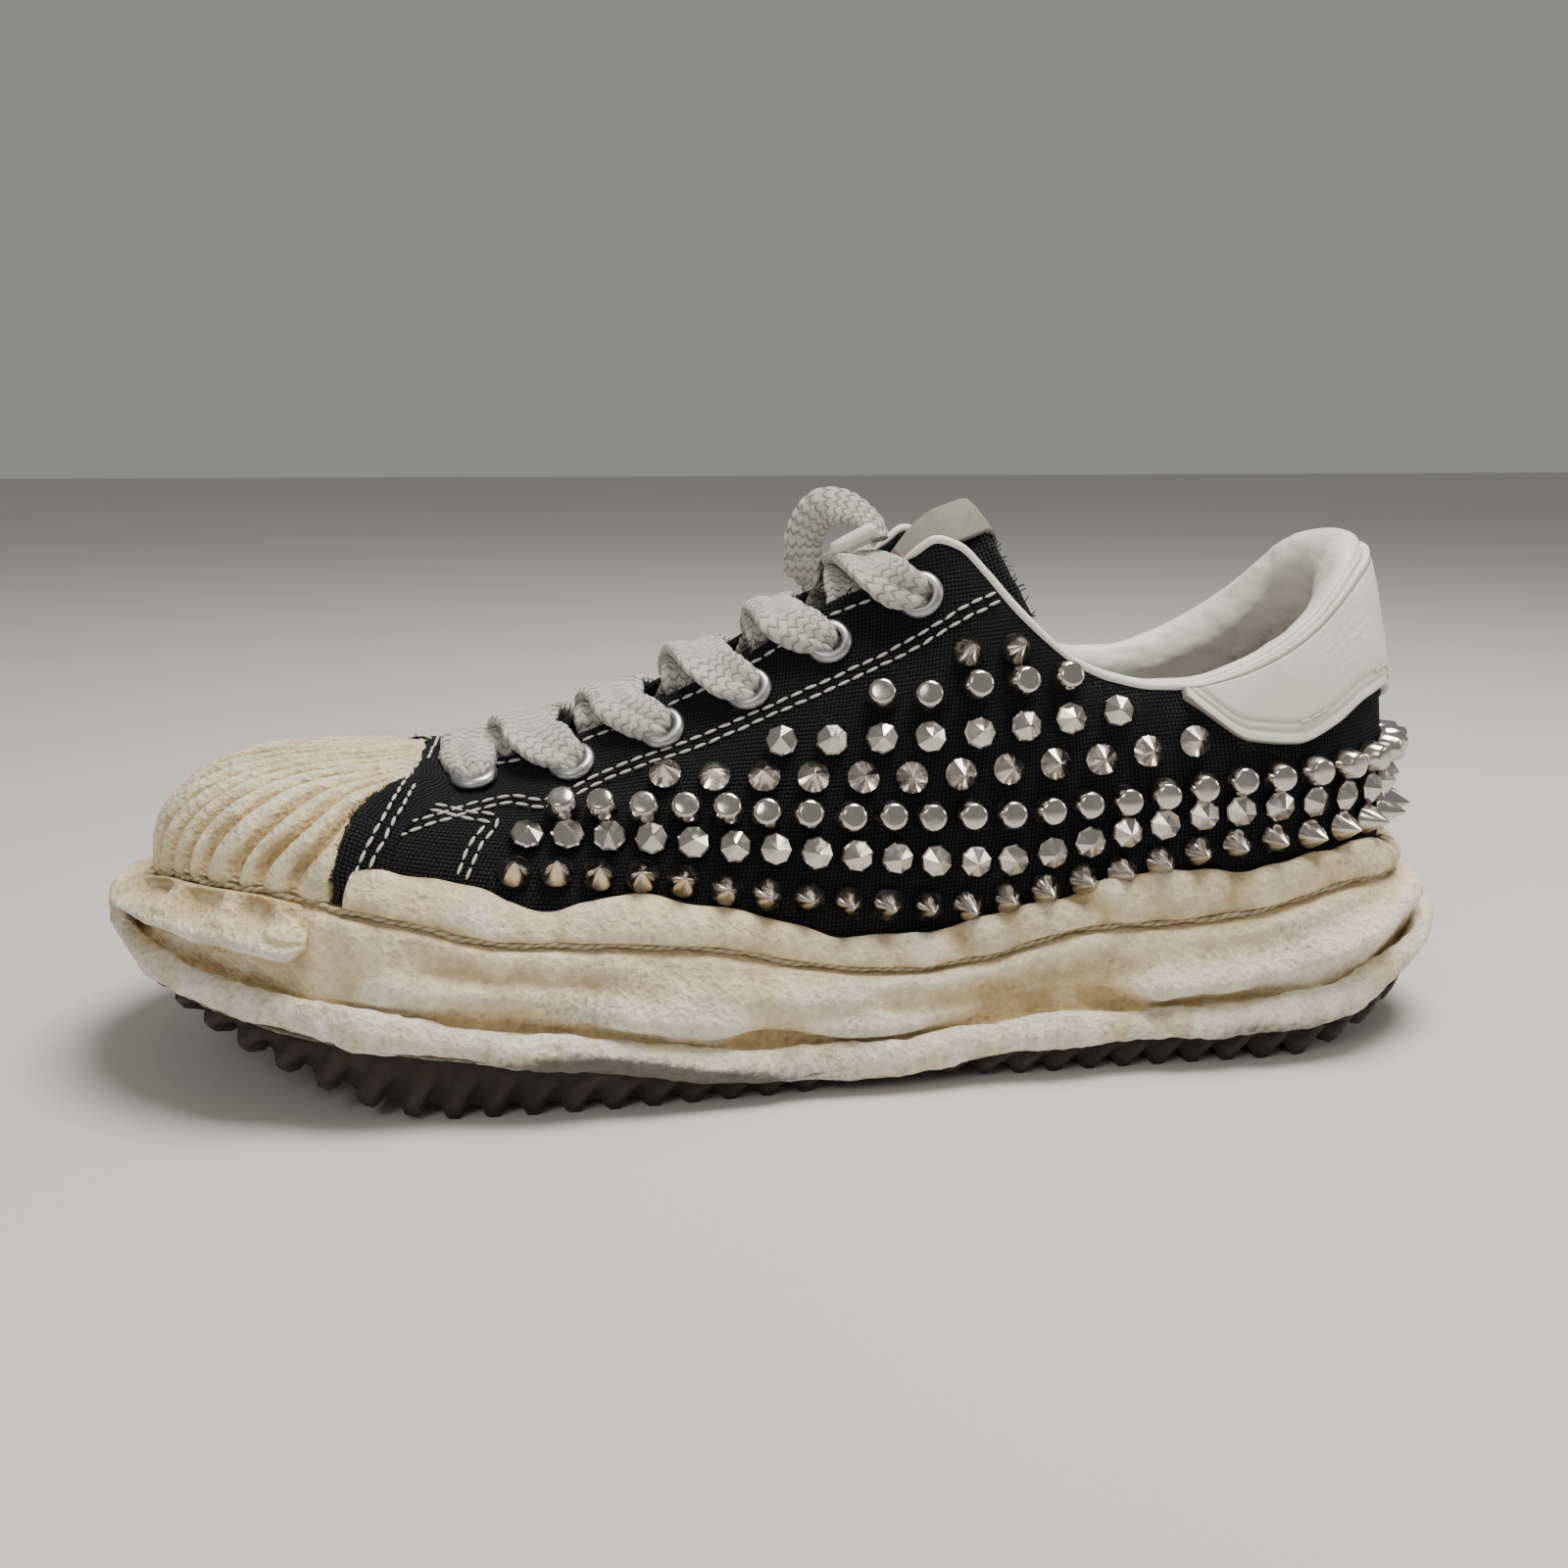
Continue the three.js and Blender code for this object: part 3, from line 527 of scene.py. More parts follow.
def weave_group():
    def build(n, given):
        place = n.put("ShaderNodeSeparateXYZ", Vector=given["Cloth"])
        turns = n.sum("DIVIDE", HALF_TURN, given["Pitch"])
        wobble = n.sum("MULTIPLY", n.grainy(given["Cloth"], 260.0), 1.1)
        warp = n.sum("SINE", n.sum("MULTIPLY_ADD", place.outputs["X"], turns, wobble))
        weft = n.sum("SINE", n.sum("MULTIPLY_ADD", place.outputs["Y"], turns, wobble))
        cross = n.sum("MULTIPLY", warp, weft)
        over = n.sum("SQRT", n.sum("ABSOLUTE", cross))
        lift = n.sum("MULTIPLY_ADD", cross, 0.22, n.sum("MULTIPLY", over, 0.78))
        fuzz = n.grainy(given["Cloth"], n.sum("DIVIDE", 2.5, given["Pitch"]), 2.0)
        return {"Height": n.sum("MULTIPLY_ADD", fuzz, 0.3, lift), "Crown": over}

    inputs = [("Cloth", VECTOR, None), ("Pitch", FLOAT, 0.0013)]
    return node_group("Canvas weave", inputs, [("Height", FLOAT), ("Crown", FLOAT)], build)


def braid_group():
    def build(n, given):
        place = n.put("ShaderNodeSeparateXYZ", Vector=given["Cloth"])
        turns = n.sum("DIVIDE", FULL_TURN, given["Pitch"])
        side = n.sum("ABSOLUTE", n.sum("SINE", n.sum("MULTIPLY", place.outputs["Y"], n.sum("MULTIPLY", turns, 0.42))))
        slant = n.sum("MULTIPLY_ADD", side, 2.6, n.sum("MULTIPLY", place.outputs["X"], turns))
        ply = n.sum("MULTIPLY_ADD", n.grainy(given["Cloth"], 420.0), 2.2, slant)
        yarn = n.sum("POWER", n.sum("ABSOLUTE", n.sum("SINE", n.sum("MULTIPLY", ply, 0.5))), 0.6)
        fibres = n.grainy(n.stretched(given["Cloth"], (1.0, 2.2, 1.0)), 3200.0, 3.0, 0.7)
        return {"Height": n.sum("MULTIPLY_ADD", fibres, 0.45, yarn), "Yarn": yarn, "Fibres": fibres}

    inputs = [("Cloth", VECTOR, None), ("Pitch", FLOAT, 0.003)]
    outputs = [("Height", FLOAT), ("Yarn", FLOAT), ("Fibres", FLOAT)]
    return node_group("Braid", inputs, outputs, build)


def finish(name, roughness, build, metallic=0.0, sheen=0.0, specular=0.5, coat=0.0):
    """A material whose build(nodes, principled) wires its colours and bumps."""
    material = bpy.data.materials.get(name)
    if material:
        return material
    material = bpy.data.materials.new(name)
    material.use_nodes = True
    nodes = Nodes(material.node_tree)
    shader = material.node_tree.nodes["Principled BSDF"]
    shader.inputs["Roughness"].default_value = roughness
    shader.inputs["Metallic"].default_value = metallic
    shader.inputs["Sheen Weight"].default_value = sheen
    shader.inputs["Specular IOR Level"].default_value = specular
    shader.inputs["Coat Weight"].default_value = coat
    build(nodes, shader)
    return material


def grouped(n, group, **inputs):
    node = n.tree.nodes.new("ShaderNodeGroup")
    node.node_tree = group
    for name, value in inputs.items():
        n.feed(node.inputs[name.replace("_", " ")], value)
    return node.outputs


def bumped(n, shader, height, distance, strength=1.0, under=None):
    node = n.put("ShaderNodeBump", Height=height, Distance=distance, Strength=strength)
    if under is not None:
        n.feed(node.inputs["Normal"], under)
    n.feed(shader.inputs["Normal"], node.outputs["Normal"])
    return node.outputs["Normal"]


def object_place(n):
    return n.put("ShaderNodeTexCoord").outputs["Object"]


def mark(n, name):
    node = n.put("ShaderNodeAttribute")
    node.attribute_name = name
    return node.outputs["Fac"]


def cloth_place(n):
    node = n.put("ShaderNodeUVMap")
    node.uv_map = "cloth"
    return node.outputs["UV"]


def colour(rgb):
    return (*rgb, 1.0)


def worn_hide(name, base, stain, chalk, grain, stain_amount):
    """Hand-shaped leather: stained in its hollows, rubbed pale on its crests and grimy in places."""

    def build(n, shader):
        where = object_place(n)
        hide = grouped(n, hide_grain_group(), Where=where, Size=grain)
        stains = grouped(n, stain_group(), Where=where, Size=0.022, Amount=stain_amount)["Mask"]
        broad = n.grainy(where, 26.0, 3.0, 0.6)
        relief = mark(n, "relief")
        uneven = n.sum("MULTIPLY_ADD", n.sum("SUBTRACT", hide["Soft"], 0.5), 1.0, relief)
        uneven = n.sum("MULTIPLY_ADD", n.sum("SUBTRACT", broad, 0.5), 1.3, uneven)
        # Darker where the relief mark is low: partly old stain, partly painted shade in hollows, creases and grooves.
        hollow = n.between(uneven, 0.1, -0.7)
        crest = n.between(uneven, 0.0, 0.8)
        tone = n.blend(n.sum("MULTIPLY", stains, 0.6), colour(base), colour(stain))
        deep = tuple(c * f for c, f in zip(stain, (0.84, 0.77, 0.66)))
        tone = n.blend(n.sum("MULTIPLY", hollow, 0.68), tone, colour(deep))
        tone = n.blend(n.sum("MULTIPLY", crest, 0.6), tone, colour(chalk))
        rub = n.between(n.sum("MULTIPLY_ADD", hide["Fine"], 0.6, mark(n, "rub")), 0.5, 1.1)
        tone = n.blend(n.sum("MULTIPLY", rub, 0.8), tone, colour(chalk))
        # Near black where the soil mark is high: real grime, and painted shade where the mark carries it.
        soil_and_shade = n.sum("MULTIPLY_ADD", n.grainy(where, 420.0, 4.0, 0.75), 0.9, mark(n, "soil_and_shade"))
        tone = n.blend(n.sum("MULTIPLY", n.between(soil_and_shade, 0.72, 1.25), 0.88), tone, (0.075, 0.07, 0.062, 1.0))
        speck = n.between(n.sum("MULTIPLY", n.grainy(where, 900.0, 3.0, 0.7), n.grainy(where, 60.0)), 0.34, 0.42)
        tone = n.blend(n.sum("MULTIPLY", speck, 0.4), tone, (0.2, 0.14, 0.075, 1.0))
        # Darker in the grain's low spots: painted shade of the pebbled grain.
        shade = n.sum("MULTIPLY_ADD", n.between(hide["Height"], 0.6, 1.3), 0.36, 0.74)
        tone = n.blend(1.0, tone, n.put("ShaderNodeCombineColor", Red=shade, Green=shade, Blue=shade).outputs[0], "MULTIPLY")
        n.feed(shader.inputs["Base Color"], tone)
        bumped(n, shader, hide["Height"], 0.0019, 0.9)

    return finish(name, 0.78, build, sheen=0.08, specular=0.3)


def canvas_finish(colours):
    def build(n, shader):
        where = object_place(n)
        weave = grouped(n, weave_group(), Cloth=cloth_place(n), Pitch=0.00095)
        fade = grouped(n, stain_group(), Where=where, Size=0.05, Amount=0.55)["Mask"]
        # Darker between the threads than on their crowns: painted shade in the weave's gaps.
        crown = n.between(weave["Crown"], 0.35, 0.95)
        thread = n.blend(n.sum("MULTIPLY", fade, 0.6), colour(tuple(c * 2.0 for c in colours.canvas)), (0.05, 0.05, 0.054, 1.0))
        tone = n.blend(crown, colour(tuple(c * 0.18 for c in colours.canvas)), thread)
        lint = n.between(n.sum("MULTIPLY", n.grainy(where, 1500.0, 2.0, 0.8), n.grainy(where, 90.0)), 0.37, 0.45)
        tone = n.blend(n.sum("MULTIPLY", lint, 0.3), tone, (0.12, 0.115, 0.11, 1.0))
        rubbed = n.between(n.sum("MULTIPLY_ADD", weave["Crown"], 0.35, mark(n, "rub")), 0.65, 1.3)
        tone = n.blend(n.sum("MULTIPLY", rubbed, 0.45), tone, (0.06, 0.058, 0.057, 1.0))
        n.feed(shader.inputs["Base Color"], tone)
        bumped(n, shader, weave["Height"], 0.0008, 0.9)

    return finish("canvas_cloth", 0.95, build, sheen=0.02, specular=0.12)


def smooth_hide_finish(colours):
    def build(n, shader):
        where = object_place(n)
        hide = grouped(n, hide_grain_group(), Where=where, Size=0.0011)
        grime = grouped(n, stain_group(), Where=where, Size=0.03, Amount=0.42)["Mask"]
        dull = tuple(c * f for c, f in zip(colours.white_hide, (0.74, 0.71, 0.66)))
        tone = n.blend(n.sum("MULTIPLY", grime, 0.5), colour(colours.white_hide), colour(dull))
        # Darker where the relief mark is low: the heel patch's raw edge and topline seam are their own colour; the
        # darkening in its stitch grooves and in the collar's creases is painted shade.
        hollow = n.between(mark(n, "relief"), 0.0, -0.8)
        tone = n.blend(n.sum("MULTIPLY", hollow, 0.8), tone, (0.23, 0.2, 0.17, 1.0))
        # Near black where the soil mark is high: grime at the heel patch's edge, and painted shade deep inside the
        # collar.
        soil_and_shade = n.between(n.sum("MULTIPLY_ADD", n.grainy(where, 300.0, 3.0, 0.7), 0.8, mark(n, "soil_and_shade")), 0.6, 1.3)
        tone = n.blend(n.sum("MULTIPLY", soil_and_shade, 0.85), tone, (0.12, 0.095, 0.075, 1.0))
        n.feed(shader.inputs["Base Color"], tone)
        n.feed(shader.inputs["Roughness"], n.sum("MULTIPLY_ADD", hide["Soft"], 0.25, 0.3))
        bumped(n, shader, hide["Height"], 0.00018, 0.6)

    return finish("smooth_hide", 0.42, build, specular=0.45)


def lace_finish(colours):
    def build(n, shader):
        where = object_place(n)
        braid = grouped(n, braid_group(), Cloth=cloth_place(n), Pitch=0.0024)
        grime = grouped(n, stain_group(), Where=where, Size=0.02, Amount=0.5)["Mask"]
        dull = tuple(c * f for c, f in zip(colours.laces, (0.66, 0.62, 0.56)))
        tone = n.blend(n.sum("MULTIPLY", grime, 0.65), colour(colours.laces), colour(dull))
        # Darker between the yarns: painted shade in the braid's gaps.
        gaps = n.between(braid["Yarn"], 0.75, 0.1)
        tone = n.blend(n.sum("MULTIPLY", gaps, 0.62), tone, (0.27, 0.24, 0.2, 1.0))
        tone = n.blend(n.sum("MULTIPLY", n.between(braid["Fibres"], 0.55, 0.8), 0.35), tone, (0.86, 0.85, 0.82, 1.0))
        # Darker along the lace's fold groove: painted shade in the crease.
        crease = n.between(mark(n, "relief"), -0.05, -0.9)
        tone = n.blend(n.sum("MULTIPLY", crease, 0.55), tone, (0.24, 0.22, 0.2, 1.0))
        n.feed(shader.inputs["Base Color"], tone)
        bumped(n, shader, braid["Height"], 0.0012, 1.0)

    return finish("lace_braid", 0.95, build, sheen=0.35, specular=0.15)


def metal_finish(name, tint, roughness, metallic, scratch):
    def build(n, shader):
        where = object_place(n)
        film = n.grainy(where, 240.0, 3.0, 0.7)
        marks = n.grainy(n.stretched(where, (1.0, 1.0, 7.0)), 900.0, 2.0, 0.8)
        dull = tuple(c * 0.62 for c in tint)
        tone = n.blend(n.sum("MULTIPLY", n.between(film, 0.5, 0.75), 0.5), colour(tint), colour(dull))
        n.feed(shader.inputs["Base Color"], tone)
        rough = n.sum("MULTIPLY_ADD", n.between(film, 0.4, 0.75), 0.22, roughness)
        n.feed(shader.inputs["Roughness"], rough)
        bumped(n, shader, marks, scratch, 0.12)

    return finish(name, roughness, build, metallic=metallic)


def thread_finish(colours):
    def build(n, shader):
        where = object_place(n)
        twist = n.grainy(n.stretched(where, (2.0, 2.0, 0.8)), 2600.0, 2.0)
        grime = grouped(n, stain_group(), Where=where, Size=0.015, Amount=0.5)["Mask"]
        dull = tuple(c * 0.6 for c in colours.thread)
        tone = n.blend(n.sum("MULTIPLY", grime, 0.6), colour(colours.thread), colour(dull))
        n.feed(shader.inputs["Base Color"], tone)
        bumped(n, shader, twist, 0.0003, 0.8)

    return finish("sewing_thread", 0.85, build, sheen=0.2, specular=0.2)


def fray_finish():
    def build(n, shader):
        fluff = n.grainy(object_place(n), 180.0, 3.0, 0.7)
        tone = n.blend(n.between(fluff, 0.5, 0.66), (0.012, 0.012, 0.014, 1.0), (0.13, 0.125, 0.12, 1.0))
        n.feed(shader.inputs["Base Color"], tone)

    return finish("canvas_thread", 0.95, build, sheen=0.2, specular=0.1)


def rope_finish():
    def build(n, shader):
        where = object_place(n)
        tone = n.blend(n.grainy(where, 320.0, 3.0, 0.7), (0.42, 0.33, 0.2, 1.0), (0.66, 0.56, 0.38, 1.0))
        # Darker between the cord's plies: painted shade in the twist's gaps.
        gap = n.between(mark(n, "relief"), 0.2, -0.8)
        tone = n.blend(n.sum("MULTIPLY", gap, 0.7), tone, (0.17, 0.125, 0.075, 1.0))
        n.feed(shader.inputs["Base Color"], tone)
        bumped(n, shader, n.grainy(where, 2400.0, 2.0), 0.0003, 0.7)

    return finish("seam_cord_fibre", 0.85, build, specular=0.2)


def rubber_finish(colours):
    def build(n, shader):
        where = object_place(n)
        dust = grouped(n, stain_group(), Where=where, Size=0.02, Amount=0.6)["Mask"]
        tone = n.blend(n.sum("MULTIPLY", dust, 0.4), colour(colours.rubber), (0.1, 0.083, 0.073, 1.0))
        # Near black in the grooves between the fins: painted shade.
        low = n.between(mark(n, "relief"), 0.3, -0.8)
        tone = n.blend(n.sum("MULTIPLY", low, 0.7), tone, (0.012, 0.009, 0.008, 1.0))
        n.feed(shader.inputs["Base Color"], tone)
        bumped(n, shader, n.grainy(where, 1300.0, 3.0, 0.6), 0.0003, 0.6)

    return finish("tread_compound", 0.66, build, specular=0.4)


def ribbon_finish(colours):
    def build(n, shader):
        cloth = cloth_place(n)
        weave = grouped(n, weave_group(), Cloth=cloth, Pitch=0.00045)
        band = mark(n, "relief")
        tone = n.blend(n.between(band, 0.35, 0.45), colour(colours.ribbon), (0.21, 0.075, 0.062, 1.0))
        grime = grouped(n, stain_group(), Where=object_place(n), Size=0.012, Amount=0.5)["Mask"]
        tone = n.blend(n.sum("MULTIPLY", grime, 0.45), tone, (0.2, 0.19, 0.16, 1.0))
        n.feed(shader.inputs["Base Color"], tone)
        bumped(n, shader, weave["Height"], 0.00015, 0.8)

    return finish("ribbon_cloth", 0.7, build, sheen=0.15, specular=0.3)


def fabric_finish(name, tint, dark, pitch):
    def build(n, shader):
        weave = grouped(n, weave_group(), Cloth=cloth_place(n), Pitch=pitch)
        grime = grouped(n, stain_group(), Where=object_place(n), Size=0.04, Amount=0.6)["Mask"]
        tone = n.blend(n.sum("MULTIPLY", grime, 0.8), colour(tint), colour(dark))
        n.feed(shader.inputs["Base Color"], tone)
        bumped(n, shader, weave["Height"], 0.0003, 0.8)

    return finish(name, 0.9, build, sheen=0.15, specular=0.2)


def plastic_finish():
    def build(n, shader):
        where = object_place(n)
        tone = n.blend(n.grainy(where, 500.0, 3.0, 0.7), (0.62, 0.6, 0.55, 1.0), (0.8, 0.79, 0.75, 1.0))
        n.feed(shader.inputs["Base Color"], tone)
        bumped(n, shader, n.grainy(where, 1500.0), 0.0001, 0.5)

    return finish("sleeve_plastic", 0.35, build)


def sole_hide(colours):
    return worn_hide("sole_hide", colours.sole, colours.stain, (0.92, 0.885, 0.8), 0.001, 0.45)


def cap_hide(colours):
    return worn_hide("cap_hide", colours.cap, colours.stain, (0.92, 0.88, 0.76), 0.0009, 0.35)


# ---- sole ----
def spine(angles, height):
    x = outline(angles)[..., 0]
    return stack(x, AXIS(x), height(x))


def ring_at(angles, grow, height):
    p = outline(angles) + outward(angles) * np.asarray(grow, float)[..., None]
    p[..., 2] = height(p[..., 0])
    return p


def build_outsole(sizes, colours):
    angles = around(840)
    rim = outline(angles)
    travel = np.concatenate([[0], np.cumsum(length(np.diff(rim, axis=0)))])
    total = travel[-1]
    fins = round(total / sizes.fin_pitch)

    def top(x):
        return UNDER_Z(x) - 0.9

    rings = [spine(angles, top), ring_at(angles, -8, top), ring_at(angles, 6.5, top)]
    for grow, share in ((8.8, 0.12), (9.9, 0.45), (9.4, 0.8), (8.2, 0.96), (6.6, 1.0), (-9, 1.0)):
        rings.append(ring_at(angles, grow, lambda x, s=share: mix(top(x), TREAD_Z(x), s)))
    rings.append(spine(angles, TREAD_Z))
    points = rows_between(rings, (2, 2, 2, 3, 4, 2, 2, 14, 12))
    rows = np.arange(len(points))
    down = ease(5, 15, rows)[:, None]
    inside = ease(19, 43, rows)[:, None]
    slant = (0.55 * down + 3.1 * inside) * np.clip(5 * np.sin(angles), -1, 1)
    phase = travel / total * fins + slant
    wave = 0.5 + 0.5 * np.cos(FULL_TURN * phase)
    groove = ease(0.18, 0.8, 1 - wave) * (0.8 + 0.2 * np.sin(3 * angles))
    out = outward(angles)
    side = (bell(rows, 12, 6) * (rows > 4))[:, None]
    points += out * (-2.5 * groove * side)[..., None]
    points[..., 2] += groove * ease(8, 15, rows)[:, None] * mix(3.0, 1.6, inside) * (1 - ease(40, 43, rows))[:, None]
    bm = bmesh.new()
    bend_grid(bm, points, {"relief": -groove * ease(5, 12, rows)[:, None]})
    weld(bm)
    finished("sole_tread", bm, rubber_finish(colours), ["outsole"])


# Soft folds pressed into the sole's side: x, share down the side, half length, half height, slope, height.
FOLD_DEPTH = 1.45
SIDE_FOLDS = (
    (-34, 0.72, 18, 0.17, 0.0, 2.3), (11, 0.74, 14, 0.16, 0.0, 2.0), (-80, 0.62, 20, 0.16, 0.3, 1.0),
    (86, 0.68, 16, 0.16, 0.35, 3.4), (113, 0.58, 20, 0.15, 0.5, 3.0), (140, 0.42, 18, 0.16, 0.5, 2.4),
    (-62, 0.42, 26, 0.13, 0.1, -1.3), (45, 0.5, 30, 0.2, -0.1, -1.5), (52, 0.8, 14, 0.12, 0.0, -1.2),
    (-8, 0.42, 22, 0.14, 0.15, 1.0), (68, 0.85, 8, 0.14, 0.0, -1.4), (-100, 0.85, 16, 0.12, 0.2, 0.9),
    (-12, 0.88, 12, 0.08, 0.0, -1.2), (28, 0.22, 24, 0.1, 0.05, 0.8), (108, 0.18, 24, 0.1, 0.1, 0.8),
)


def build_midsole(sizes, colours):
    angles = around(640)
    base = outline(angles)
    out = outward(angles)
    x = base[..., 0]
    seam, lip_top = SEAM_Z(x), LIP_Z(x) + 8
    tuck = 1.9 * ease(-90, -125, x)

    def cup(share):
        return beside_skin(angles, mix(base[..., 2], seam, share), np.full(angles.shape, 0.6))

    def side(share, grow, lift=0.0):
        z = mix(seam, lip_top, share) + lift
        extra = 1.2 * ease(0, 0.25, share)
        p = (base + out * (grow + extra - tuck * (1 - share) + 0.6 * swell(angles) * ease(0, 0.3, share))[..., None])
        top = beside_skin(angles, seam - 0.3, grow - tuck)
        p[..., :2] = mix(top[..., :2], p[..., :2], ease(0, 0.3, share))
        p[..., 2] = z
        return p

    def lip(inset, lift, wave=1.0):
        roll = 0.5 * swell(angles) + wave * (0.8 * np.sin(11 * angles + 1) + 0.5 * np.sin(23 * angles))
        p = base + out * (LIP_GROW - inset + 0.6 * roll)[..., None]
        p[..., 2] = LIP_Z(p[..., 0]) + lift
        return p

    wavy = 0.9 * np.sin(7 * angles + 2.2) + 0.5 * np.sin(17 * angles)
    rings = [
        spine(angles, lambda v: BED_Z(v) - 0.2), cup(0), cup(0.6), cup(0.97),
        side(0, 2.9, -0.1), side(0.02, 5.0, -0.8), side(0.12, 6.9), side(0.4, 7.6), side(0.72, 7.7),
        side(0.9, 6.6, -0.2), side(1.0, 6.5, -0.6),
        lip(3.2, 8.5 + 0.7 * wavy), lip(0.9, 7.5 + 0.7 * wavy), lip(-0.3, 4.6 + 0.4 * wavy),
        lip(0.7, 1.7), lip(3.2, 0.5), ring_at(angles, 8.2, lambda v: UNDER_Z(v) + 0.1),
        spine(angles, UNDER_Z),
    ]
    counts = (6, 4, 4, 2, 3, 4, 9, 10, 6, 4, 5, 4, 4, 4, 3, 4, 8)
    points = rows_between(rings, counts)
    rows = np.arange(len(points))
    starts = np.concatenate([[0], np.cumsum(counts)])
    first, last = starts[5], starts[16]
    share = np.interp(rows, starts[4:12], (0, 0.02, 0.12, 0.4, 0.72, 0.9, 1.0, 1.1))[:, None]
    on_face = (ease(first - 1, first + 5, rows) * (1 - ease(last - 4, last, rows)))[:, None]
    px = points[..., 0]
    turn_side = 4.5 - 4.5 * np.clip(5 * np.sin(angles), -1, 1)
    push = np.zeros(px.shape)
    for fx, fs, long, tall, slope, high in SIDE_FOLDS:
        off = (px + turn_side - fx) / long
        push += FOLD_DEPTH * high * np.exp(-(off**4)) * bell(share + slope * off * 0.3, fs, tall)
    wrinkle = lumps(points, 17, 3, 3.1)
    fine = lumps(points, 5.5, 2, 7.7)
    push += 1.05 * wrinkle + 0.3 * fine
    lip_rows = (ease(starts[10], starts[11], rows) * (1 - ease(starts[15], starts[16], rows)))[:, None]
    push = push * on_face + 0.4 * lumps(points, 2.6, 2, 1.3) * lip_rows
    points -= grid_normals(points, True) * push[..., None]
    # Low relief darkens the finish: the channel above the lip, the fold hollows and the top of the side under the band
    # get painted shade, mixed with old stain.
    channel = bell(share, 0.98, 0.07)
    relief = (0.34 * push - 0.55 * channel) * on_face - 0.9 * (1 - ease(0, 0.06, share)) * (rows > 3)[:, None]
    patch = bell(px, -76, 9) * bell(share, 0.1, 0.12)
    rub = (0.62 + 0.5 * lumps(points, 9, 2, 5.0)) * lip_rows + 0.35 * bell(share, 0.8, 0.12) * (wrinkle > 0) + 0.3 * patch
    # Grime scuffs on the lower half of the lip and near the heel, a little darkening along the top of the side, and
    # darker all the way under the lip towards the tread.
    low = (bell(rows, starts[13] + 3, 4.5) + 0.5 * bell(rows, starts[15], 4))[:, None]
    soil_and_shade = low * (1.3 * bell(px, -38, 24) + 0.22 + 0.3 * bell(px, 105, 20)) + 0.1 * (share < 0.1)
    soil_and_shade = soil_and_shade + ease(starts[15], starts[16], rows)[:, None]
    bm = bmesh.new()
    bend_grid(bm, points, {"relief": relief, "rub": rub, "soil_and_shade": soil_and_shade})
    weld(bm)
    finished("midsole_wrap", bm, sole_hide(colours), ["midsole"])


# Upright folds of the soft band: x, half width, height, slant.
BAND_FOLDS = (
    (-92, 3, 0.7, 0.2), (-84, 4, -0.7, 0.3), (-57, 1.2, -0.8, 0.0), (-51, 6, 0.7, 0.0), (18, 3.5, -1.1, 0.5),
    (24, 4, 1.0, 0.6), (33, 2.4, -1.3, 0.5), (38, 4, 0.9, 0.4), (46, 2.5, -0.9, 0.3), (56, 4, 0.8, 0.4),
    (64, 2.5, -1.5, 0.9), (70, 4, 1.2, 0.8), (77, 3, -0.9, 0.6), (84, 5, 0.9, 0.3), (98, 4, -1.1, -0.5),
    (108, 6, 0.8, 0.2), (120, 4, -0.8, 0.4), (132, 5, 0.7, 0.0), (-20, 5, -0.6, 0.2), (-30, 6, 0.6, 0.1),
)


def build_foxing(sizes, colours):
    start = float(column_at(CAP_FOOT_X + 1.5, 0.2))
    angles = np.linspace(start, FULL_TURN - start, 520)
    x = outline(angles)[..., 0]
    low, high = SEAM_Z(x) + 0.35, FOXING_Z(x)
    edge = 0.5 * np.sin(31 * angles) + 0.4 * np.sin(53 * angles + 1)

    def at(share, grow):
        z = mix(low, high + edge * 0.6, share)
        return beside_skin(angles, z, np.full(angles.shape, grow) + 0.35 * swell(2 * angles) * (grow > 2))

    rings = [
        at(0.02, 0.6), at(0.0, 3.4), at(0.05, 5.3), at(0.2, 6.2), at(0.5, 6.1), at(0.78, 5.2), at(0.93, 3.8),
        at(1.0, 2.3), at(0.98, 1.1), at(0.85, 0.5), at(0.4, 0.5),
    ]
    points = rows_between(rings + rings[:1], (2, 3, 4, 6, 7, 5, 4, 3, 2, 3, 3))
    rows = np.arange(len(points))
    face = (ease(2, 8, rows) * (1 - ease(28, 35, rows)))[:, None]
    share = np.clip(np.interp(rows, (0, 5, 31), (0, 0, 1)), 0, 1)[:, None]
    px = points[..., 0]
    push = np.zeros(px.shape)
    for fx, wide, tall, slant in BAND_FOLDS:
        push += 1.25 * tall * bell(px + slant * 8 * (share - 0.5), fx, wide) * (0.35 + 0.65 * share)
    wrinkle = lumps(points, 12, 3, 5.3)
    push += 0.55 * wrinkle + 0.2 * lumps(points, 4, 2, 2.2)
    points += grid_normals(points) * (push * face)[..., None]
    # Low relief in the fold hollows and along the band's edges, which the finish paints as shade mixed with old stain.
    relief = 0.4 * push * face - 0.8 * bell(rows, 4, 2.5)[:, None] - 0.4 * bell(rows, 33, 3)[:, None]
    patch = bell(px, -74, 7) * bell(share, 0.35, 0.3) * (points[..., 1] < 0)
    rub = 0.3 * bell(share, 0.9, 0.15) + 0.75 * patch
    scar = bell(px, -84, 5) * bell(share, 0.6, 0.3) * (points[..., 1] < 0)
    soil_and_shade = 0.45 * scar + 0.12 * bell(share, 0.3, 0.3) * ease(10, 60, px)
    bm = bmesh.new()
    bend_grid(bm, points, {"relief": relief, "rub": rub, "soil_and_shade": soil_and_shade})
    weld(bm)
    close_ends(bm)
    finished("foxing", bm, sole_hide(colours), ["foxing_band"])


# Hollows pressed into the toe bumper, as the column angles where each starts and ends.
BUMPER_HOLLOWS = ((-0.13, 0.14), (0.2, 0.405), (0.445, 0.575), (0.61, 0.7))


